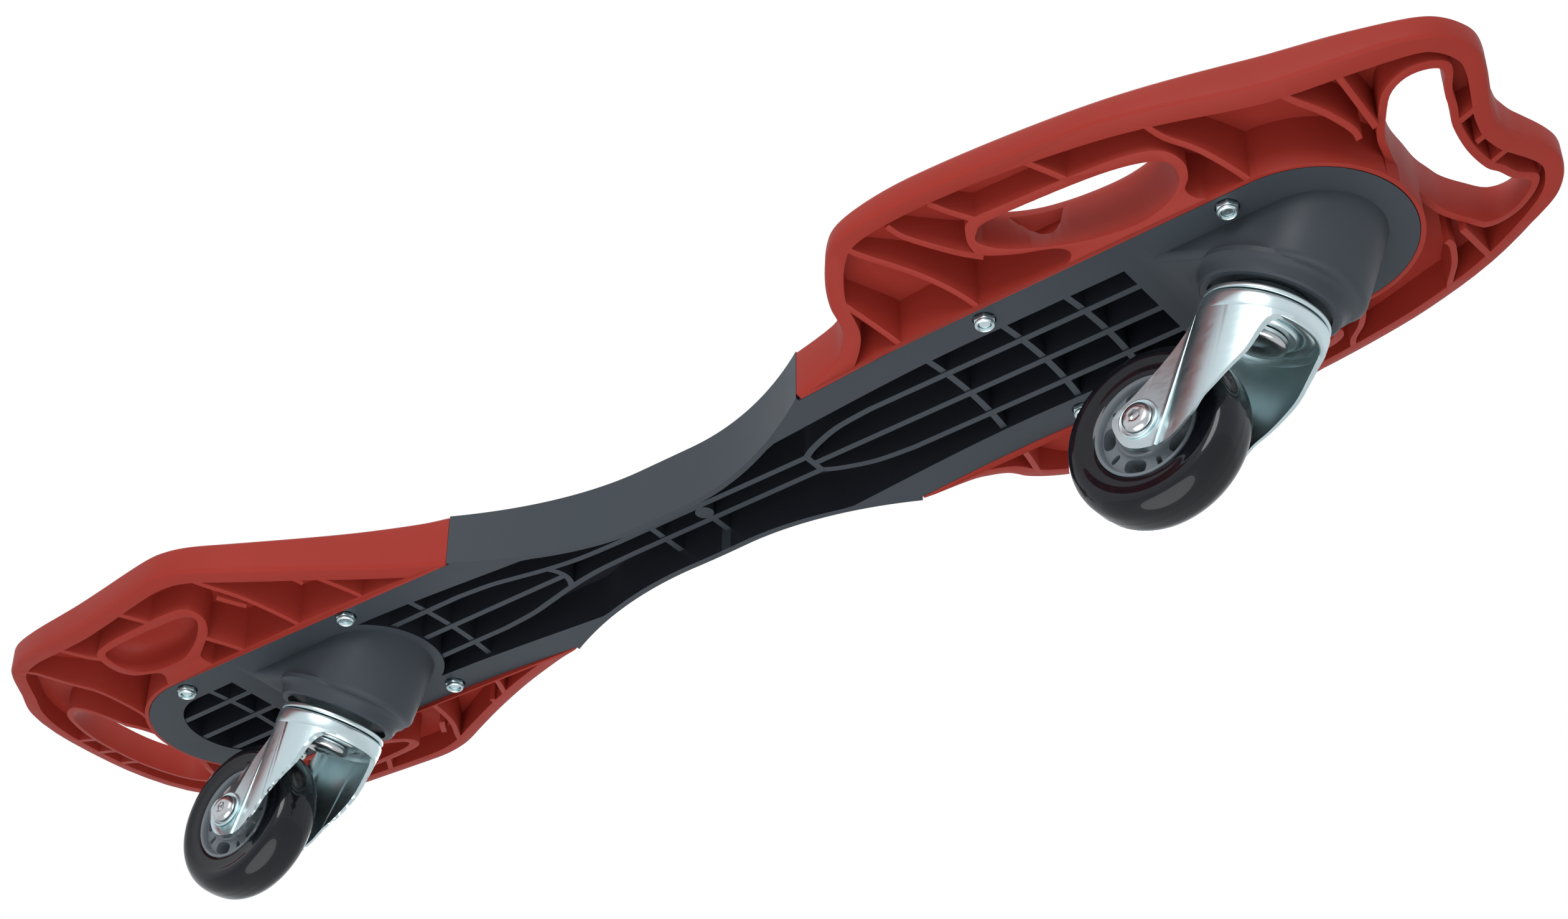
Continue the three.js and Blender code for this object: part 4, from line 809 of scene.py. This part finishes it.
def frame_blank():
    edge = [(x, neck_half(FRONT, x)) for x in spread(FRONT["seam"] - 0.15, NECK_MID, 24)]
    edge += [(x, neck_half(REAR, x)) for x in spread(NECK_MID, REAR["seam"] + 0.15, 24)[1:]]
    neck = slab("frame_moulding", edge + [(x, -y) for x, y in edge[::-1]], -30, NECK_TOP + 4)
    keep(neck, across("level", [(x, NECK_TOP) for x in spread(-116, 108, 56)]))
    for end in ENDS:
        low = slab("tongue", tongue(end, 0, end["seam"] - end["way"] * 2), -30, 70)
        join(neck, keep(low, under_height(end, "top", lambda x: deck_top(end, x) - SKIN - GAP)))
    line = [(x, belly(x)) for x in spread(-360, 380, 120)]
    return cut(neck, across("belly", line, -99))


# %% [markdown]
# The windows follow the frame's sides, and end square at the casters' pads. Their long ribs stop half a
# millimetre inside the flat underside and the cross ribs a whole one, as in the real moulding.


# %% Windows and ribs
def window_half(end, x):
    outer = TONGUE_HALF if (x - end["seam"]) * end["way"] > 0 else neck_half(end, x)
    return min(WINDOW_HALF, outer - 3)


def pad_x(end):
    return end["swivel"] - BACK / math.cos(RAKE) - 12


def neck_window():
    stop = {1: pad_x(FRONT), -1: REAR["swivel"] + 11 / math.cos(RAKE)}
    half = []
    for end in ENDS:
        way = end["way"]
        line = [(x, window_half(end, x)) for x in [*spread(NECK_MID, end["seam"], 20), stop[way]]]
        half += line if end is REAR else line[::-1]
    return half + [(x, -y) for x, y in half[::-1]]


def tail_window():
    centre, reach = REAR["tongue"] + TONGUE_HALF, TONGUE_HALF - 18.5
    bend = [(centre - reach * math.cos(a), WINDOW_HALF * math.sin(a))
            for a in spread(-math.pi / 2, math.pi / 2, 32)]
    return [(pad_x(REAR), -WINDOW_HALF), *bend, (pad_x(REAR), WINDOW_HALF)]


def bowed_rib(x):
    return band([(x - 5 * s * s, s * TONGUE_HALF) for s in spread(-1, 1, 16)], FRAME_RIB)


NECK_BAR, TAIL_RIBS = 13.5, -230.0


def frame_ribs(end):
    way, front = end["way"], end is FRONT
    cross = (0.183, 0.304, 0.402) if front else (0.134, 0.577)
    neck_x = NECK_MID + way * NECK_BAR
    bend = [(0.675, 0), (0.77, 0.36), (0.97, 0.82), (1.21, 1)] if front else [
        (0.26, 0), (0.5, 0.07), (0.7, 0.3), (0.86, 0.58), (1.02, 0.85), (1.22, 1)]
    bend = [(end["seam"] - way * (1 - along) * end["flare"], 5.5 + 11 * out) for along, out in bend]
    line = [(NECK_MID - way * PAST, 5.5), *eased(bend, 5), (end["tongue"], 16.5)]
    ribs = [slab("rib", band([(x, side * y) for x, y in line], FRAME_RIB), 0.5, 60) for side in (1, -1)]
    bridge = 70 if front else -72.2
    arch = [(bridge - (0 if front else 3.5 * s * s), s * (5.5 if front else 8.8)) for s in spread(-1, 1, 12)]
    ribs.append(slab("bridge", band(arch, FRAME_RIB), 0.5, 60))
    ribs.append(slab("rib", band([(bridge, 0), (end["tongue"], 0)], FRAME_RIB), 0.5, 60))
    bars = [bowed_rib(end["seam"] + way * share * end["length"]) for share in cross]
    bars.append(band([(neck_x, -TONGUE_HALF), (neck_x, TONGUE_HALF)], FRAME_RIB))
    return ribs + [slab("bar", bar, 1.0, 60) for bar in bars]


def moulded_frame():
    body = frame_blank()
    casters = [[(x + end["swivel"], y) for x, y in housing_plan(-4.5, 1 / math.cos(RAKE))] for end in ENDS]
    ribs = frame_ribs(FRONT) + frame_ribs(REAR)
    ribs.append(slab("boss", arc(NECK_MID + NECK_BAR, 0, 4.2, 4.2, 0, math.tau, 32)[1:], 0.5, 20))
    core = slab("core", neck_window(), -40, 70)
    tail = slab("tail_core", tail_window(), -40, 70)
    for blank in (core, tail):
        for plan in casters:
            cut(blank, slab("pad", plan, -45, 75))
    for rib in ribs:
        if rib.bound_box[0][0] < TAIL_RIBS * MM:
            copy = rib.copy()
            copy.data = rib.data.copy()
            bpy.context.collection.objects.link(copy)
            cut(tail, copy)
        cut(core, rib)
    for blank in (core, tail):
        line = []
        for x in spread(-360, 380, 120):
            under_deck = deck_top(end_at(x), x) - SKIN - GAP
            line.append((x, min(under_deck, NECK_TOP) - FRAME_SKIN))
        cut(body, keep(blank, across("ceiling", line, -99)))
    for end in ENDS:
        for x in end["bolts"]:
            for side in (1, -1):
                ring = arc(x, side * DECK_BOLT_OUT, 4.9, 4.9, 0, math.tau, 32)[1:]
                cut(body, slab("recess", ring, -20, 1.2))
        join(body, housing(end))
        profile = [(24.8, -40), (24.8, -22), (5.1, -22), (5.1, 5), (11, 5), (11, 45)]
        cut(body, plug("swivel_core", profile, raked(end)))
    return body


body = moulded_frame()
softened(body, 0.5)
body.data.materials.append(grey.material)
body.data.materials.append(core_smooth_and_painted_shade.material)
# Faces inside the windows that don't face up get the core finish, whose darker colour is painted shade.
for face in body.data.polygons:
    x, y, z = face.center / MM
    inside = abs(y) < window_half(end_at(x), x) + 0.3 and z > FLANGE + 2
    face.material_index = int(inside and face.normal.z < 0.5)
bend = "front_half", "rear_half", place((FRONT["seam"], 0, 5)), place((REAR["seam"], 0, 5))
dressed(body, "grey_frame", bend, "frame_front", "frame_rear")

# %% [markdown]
# ## Wheels
# Both casters are alike, so each of their parts is made once, for the front one, and copied along the board.
# A tyre and a hub are round, so their profiles are spun about the axle. The hub's web is then pierced by five
# round-ended windows, with a small slot in each forked spoke between them.


# %% Helpers for what sits in a caster
def axle_place(end):
    middle = Matrix.Translation((-TRAIL, 0, -AXLE_DROP))
    return raked(end) @ middle @ Matrix.Rotation(math.pi / 2, 4, "X")


def copied(piece, name, shift):
    only(piece)
    bpy.ops.object.duplicate()
    copy = bpy.context.object
    copy.name = copy.data.name = name
    copy.data.transform(Matrix.Translation(Vector(shift) * MM))
    return copy


def both_casters(piece, part, slot_name, body, *nodes):
    """The front piece and its copy at the rear, each on its own body."""
    piece.name = piece.data.name = f"front_{part}"
    copy = copied(piece, f"rear_{part}", (REAR["swivel"] - FRONT["swivel"], 0, 0))
    for made, end in ((piece, "front"), (copy, "rear")):
        dressed(made, slot_name, f"{end}_{body}", *[f"{end}_{node}" for node in nodes])


AXLE, SWIVEL = axle_place(FRONT), raked(FRONT)

# %% Tyre
side = eased([(22.7, 10.2), (24.0, 10.75), (27.6, 11.1), (31.1, 11.75), (34.0, 10.7), (36.3, 8.0),
              (37.6, 4.6), (38.0, 0.0)], 6)
tyre = turned("tyre", side + [(r, -z) for r, z in side[-2::-1]], AXLE, 128)
only(tyre)
bpy.ops.object.shade_smooth_by_angle(angle=math.radians(50))
both_casters(tyre, "cast_tyre", "black_tyre", "wheel", "tyre")

# %% Hub
hub = turned("hub", [
    (11.3, 10.6), (12.9, 10.6), (13.5, 10.0), (13.7, 8.4), (20.2, 8.0), (20.6, 10.0), (21.2, 10.7),
    (22.4, 10.7), (22.4, -10.7), (21.2, -10.7), (20.6, -10.0), (20.2, -8.0), (13.7, -8.4), (13.5, -10.0),
    (12.9, -10.6), (11.3, -10.6), (11.3, -3.4), (9.8, -3.4), (9.8, 3.4), (11.3, 3.4)], AXLE, 120)


def pierced(name, angle, radius, half_out, half_along):
    out, along = Vector((math.cos(angle), math.sin(angle))), Vector((-math.sin(angle), math.cos(angle)))
    line = []
    for turn in spread(0, math.tau, 32)[1:]:
        c, s = math.cos(turn), math.sin(turn)
        wide = half_along * math.copysign(abs(c) ** 0.75, c)
        tall = half_out * math.copysign(abs(s) ** 0.75, s)
        line.append(tuple(out * (radius + tall) + along * wide))
    return slab(name, line, -12, 12, AXLE)


for i in range(5):
    angle = math.radians(72 * i + 90)
    cut(hub, pierced("window", angle + math.radians(36), 16.95, 3.0, 5.0),
        pierced("slot", angle, 17.4, 2.3, 1.15))
softened(hub, 0.35)
both_casters(hub, "spoked_hub", "grey_hub", "wheel", "hub")

# %% [markdown]
# ## Forks and swivels
# A fork is pressed from one sheet: a round crown that holds the ball track, and two legs that hang from its
# skirt. Each leg is flat beside the wheel and follows the crown's round wall in front of it, with a valley
# between the two, and draws in on its way down. So the bent sheet is extruded first and then cut to its
# outline, as a press tool does.

# %% Crown and legs
CROWN_LOW = -38.0
crown = turned("fork_pressing", [
    (5.1, -30.9), (5.1, -33.4), (15.2, -33.4), (15.9, -34.6), (16.6, -36.0), (18.0, -36.5), (20.2, -36.4),
    (21.6, -35.6), (22.6, -34.6), (23.0, -36.0), (22.9, -38.6), (25.3, -38.6), (25.8, -36.6), (25.9, -33.0),
    (25.7, -31.6), (25.0, -30.95), (22.3, -30.9), (21.4, -32.6), (20.3, -33.6), (19.0, -33.9), (17.7, -33.6),
    (16.6, -32.6), (15.8, -30.9)], SWIVEL, 112)
LEG_OUTLINE = [
    (13.6, 34.8), (11.1, 26.8), (6.6, 19.6), (1.8, 12.6), (-2.1, 7.5), (-4.5, 2.1), (-7, -1.7), (-10, -6),
    (-14, -9.3), (-21, -11.2), (-28.6, -12.7), (-35.3, -11.4), (-41.2, -6.3), (-44, -2), (-43.8, 1.7),
    (-41.3, 5.5), (-37.9, 10.1), (-34.6, 15.3), (-30.1, 22.8), (-25.9, 30.7), (-22.6, 38.7)]


def fork_leg(side):
    radius, flat, ease = 24.5, 13.8, 2.4
    valley = math.pi - math.asin(flat / radius)
    corner = Vector((radius * math.cos(valley), flat))
    first, last = corner - Vector((ease, 0)), valley - ease / radius
    far = Vector((radius * math.cos(last), radius * math.sin(last)))
    bend = [first.lerp(corner, t).lerp(corner.lerp(far, t), t) for t in spread(0, 1, 6)]
    line = [(-64, flat), *[tuple(p) for p in bend], *arc(0, 0, radius, radius, last, 0.12 * math.pi, 40)[1:]]
    plan = band(line, 2.5)

    def drawn_in(share):
        return [(x, side * (flat + (y - flat) * (share if y > flat + 2 else 1))) for x, y in plan]

    heights = (0.35, -AXLE_DROP - 30), (0.5, -78), (1, CROWN_LOW + 2.5)
    sheet = lofted("leg", [level(drawn_in(share), z) for share, z in heights], SWIVEL)
    edge = [(22.4, 46.4), (22.4, 44.2), (19.8, 43.7), (17.6, 42.7), (16.1, 41.0), (14.9, 38.6)]
    edge += eased(LEG_OUTLINE, 4) + [(-21.2, 44.8), (-21.0, 46.4)]
    outline = [[(u, y, h - AXLE_DROP) for u, h in edge] for y in (-40, 40)]
    hole = arc(0, 0, 4.3, 4.3, 0, math.tau, 40)[1:]
    return cut(keep(sheet, lofted("outline", outline, SWIVEL)), slab("axle_hole", hole, -30, 30, AXLE))


softened(crown, 0.3)
legs = [fork_leg(side) for side in (1, -1)]
for leg in legs:
    softened(leg, 0.5, 3, 40)
fork = grouped(crown, *legs)
both_casters(fork, "fork_pressing", "zinc", "caster", "fork")

# %% Upper race, lower race and kingpin
race = turned("race", [
    (5.1, -30.3), (16.5, -30.3), (17.4, -29.0), (19.0, -28.6), (20.6, -29.0), (21.5, -30.3), (25.2, -30.3),
    (25.5, -29.6), (25.3, -28.4), (24.6, -27.7), (17.6, -27.7), (17.0, -27.2), (17.0, -22.3), (5.1, -22.3)],
    SWIVEL, 112)
softened(race, 0.25)
both_casters(race, "ball_race", "zinc", "half", "upper_race")
lower = turned("lower", [
    (5.1, -33.7), (14.2, -33.7), (14.9, -34.4), (15.0, -36.2), (14.2, -37.4), (12.6, -37.5), (5.1, -37.5)],
    SWIVEL, 96)
softened(lower, 0.25)
both_casters(lower, "lower_cup", "zinc", "caster", "lower_race")
head = turned("head", [
    (0.01, -42.1), (8.6, -42.1), (10.2, -41.9), (11.2, -41.2), (11.5, -40.2), (11.5, -38.5), (11.0, -37.8),
    (4.8, -37.8), (4.8, 17.0), (4.0, 18.0), (0.01, 18.0)], SWIVEL, 96)
softened(head, 0.2)
both_casters(head, "pivot_pin", "bright_steel", "half", "kingpin")

# %% [markdown]
# ## Axle and fasteners
# Each axle is a button-head bolt with a hexagon socket on the near side and a lock nut on the far side. The
# decks are held by button-head bolts from above. Their nuts sit under the frame and end in a rolled collar.


# %% Bolts and nuts
def hexagon(flats, turn=0.0):
    return [(flats / math.sqrt(3) * math.cos(turn + math.radians(60 * i)),
             flats / math.sqrt(3) * math.sin(turn + math.radians(60 * i))) for i in range(6)]


def lock_nut(name, flats, low, high, bore, where):
    """A hexagon with eased corners, its raised collar and its bore."""
    nut = slab(name, hexagon(flats), low, high, where)
    far = flats / math.sqrt(3)
    eased_corners = [(far - 0.9, low - 0.3), (far + 0.4, low + 1.0), (far + 0.4, high + 1)]
    keep(nut, plug("ease", eased_corners, where, 64))
    collar = flats * 0.43
    join(nut, plug("collar", [(collar - 0.5, low - 1.2), (collar, low - 0.5), (collar, low + 1)], where, 64))
    cut(nut, plug("bore", [(bore, low - 9), (bore, high + 9)], where, 48))
    return softened(nut, 0.15)


bolt = turned("bolt", [
    (0.01, -25.2), (3.0, -25.2), (3.7, -24.5), (3.7, 16.1), (6.4, 16.1), (6.5, 16.8), (6.1, 17.7),
    (5.2, 18.5), (4.0, 18.9), (0.01, 18.9)], AXLE, 72)
cut(bolt, slab("socket", hexagon(4.6), 16.9, 30, AXLE))
softened(bolt, 0.15)
both_casters(bolt, "axle_button_bolt", "bright_steel", "caster", "axle_bolt")
nut = lock_nut("axle_nut", 13, -21.9, -16.1, 4.0, AXLE)
both_casters(nut, "axle_lock_nut", "bright_steel", "caster", "axle_nut")
for where, sign in (("near", 1), ("far", -1)):
    ring = turned("ring", [(4.1, sign * 15.0), (8.2, sign * 15.0), (8.6, sign * 15.3), (8.6, sign * 15.9),
                           (8.1, sign * 16.2), (7.4, sign * 15.9), (4.1, sign * 15.9)], AXLE, 72)
    softened(ring, 0.15)
    both_casters(ring, f"axle_ring_{where}", "zinc", "caster", f"axle_washer_{where}")

# %% Deck bolts, each turned at its own place, and their nuts, made once and copied to each place
seat = FRONT["bolts"][0], DECK_BOLT_OUT
spot = Matrix.Translation((*seat, FLANGE))
first_nut = keep(slab("first_nut", hexagon(8.2), -2.0, 1.0, spot),
                 plug("ease", [(3.9, -2.6), (4.9, -1.4), (4.9, 1.5)], spot, 64))
rolled = turned("rolled_collar", [
    (2.75, 0.8), (2.75, -2.9), (2.95, -3.4), (3.35, -3.65), (3.8, -3.5), (4.1, -3.1), (4.15, -2.6),
    (4.0, -1.8), (3.6, 0.8)], spot, 64)
cut(first_nut, plug("bore", [(2.7, -9), (2.7, 9)], spot, 48))
grouped(softened(first_nut, 0.15), rolled)
only(first_nut)
bpy.ops.object.shade_smooth_by_angle(angle=math.radians(38))
for end in ENDS:
    places = [(x, y) for x in end["bolts"] for y in (DECK_BOLT_OUT, -DECK_BOLT_OUT)]
    for i, (x, y) in enumerate(places, 1):
        high = deck_top(end, x)
        spot = Matrix.Translation((x, y, FLANGE))
        bolt = turned(f"{end['name']}_button_bolt_{i}", [
            (0.01, -2.6), (2.1, -2.6), (2.4, -2.3), (2.4, high - 2.3), (4.9, high - 2.3), (5.0, high - 1.6),
            (4.3, high - 0.8), (3.4, high - 0.35), (0.01, high - 0.3)], spot, 40)
        cut(bolt, slab("socket", hexagon(3.0), high - 1.6, high + 2, spot))
        softened(bolt, 0.12)
        dressed(bolt, "zinc", f"{end['name']}_half", f"deck_bolt_{end['name']}_{i}")
        nut = copied(first_nut, f"{end['name']}_lock_nut_{i}", (x - seat[0], y - seat[1], 0))
        dressed(nut, "zinc", f"{end['name']}_half", f"deck_nut_{end['name']}_{i}")
bpy.data.objects.remove(first_nut)

# %% [markdown]
# ## Finish
# Blender must not change the size of the part. The script ends with nothing selected.

# %% Finish with nothing selected
only()
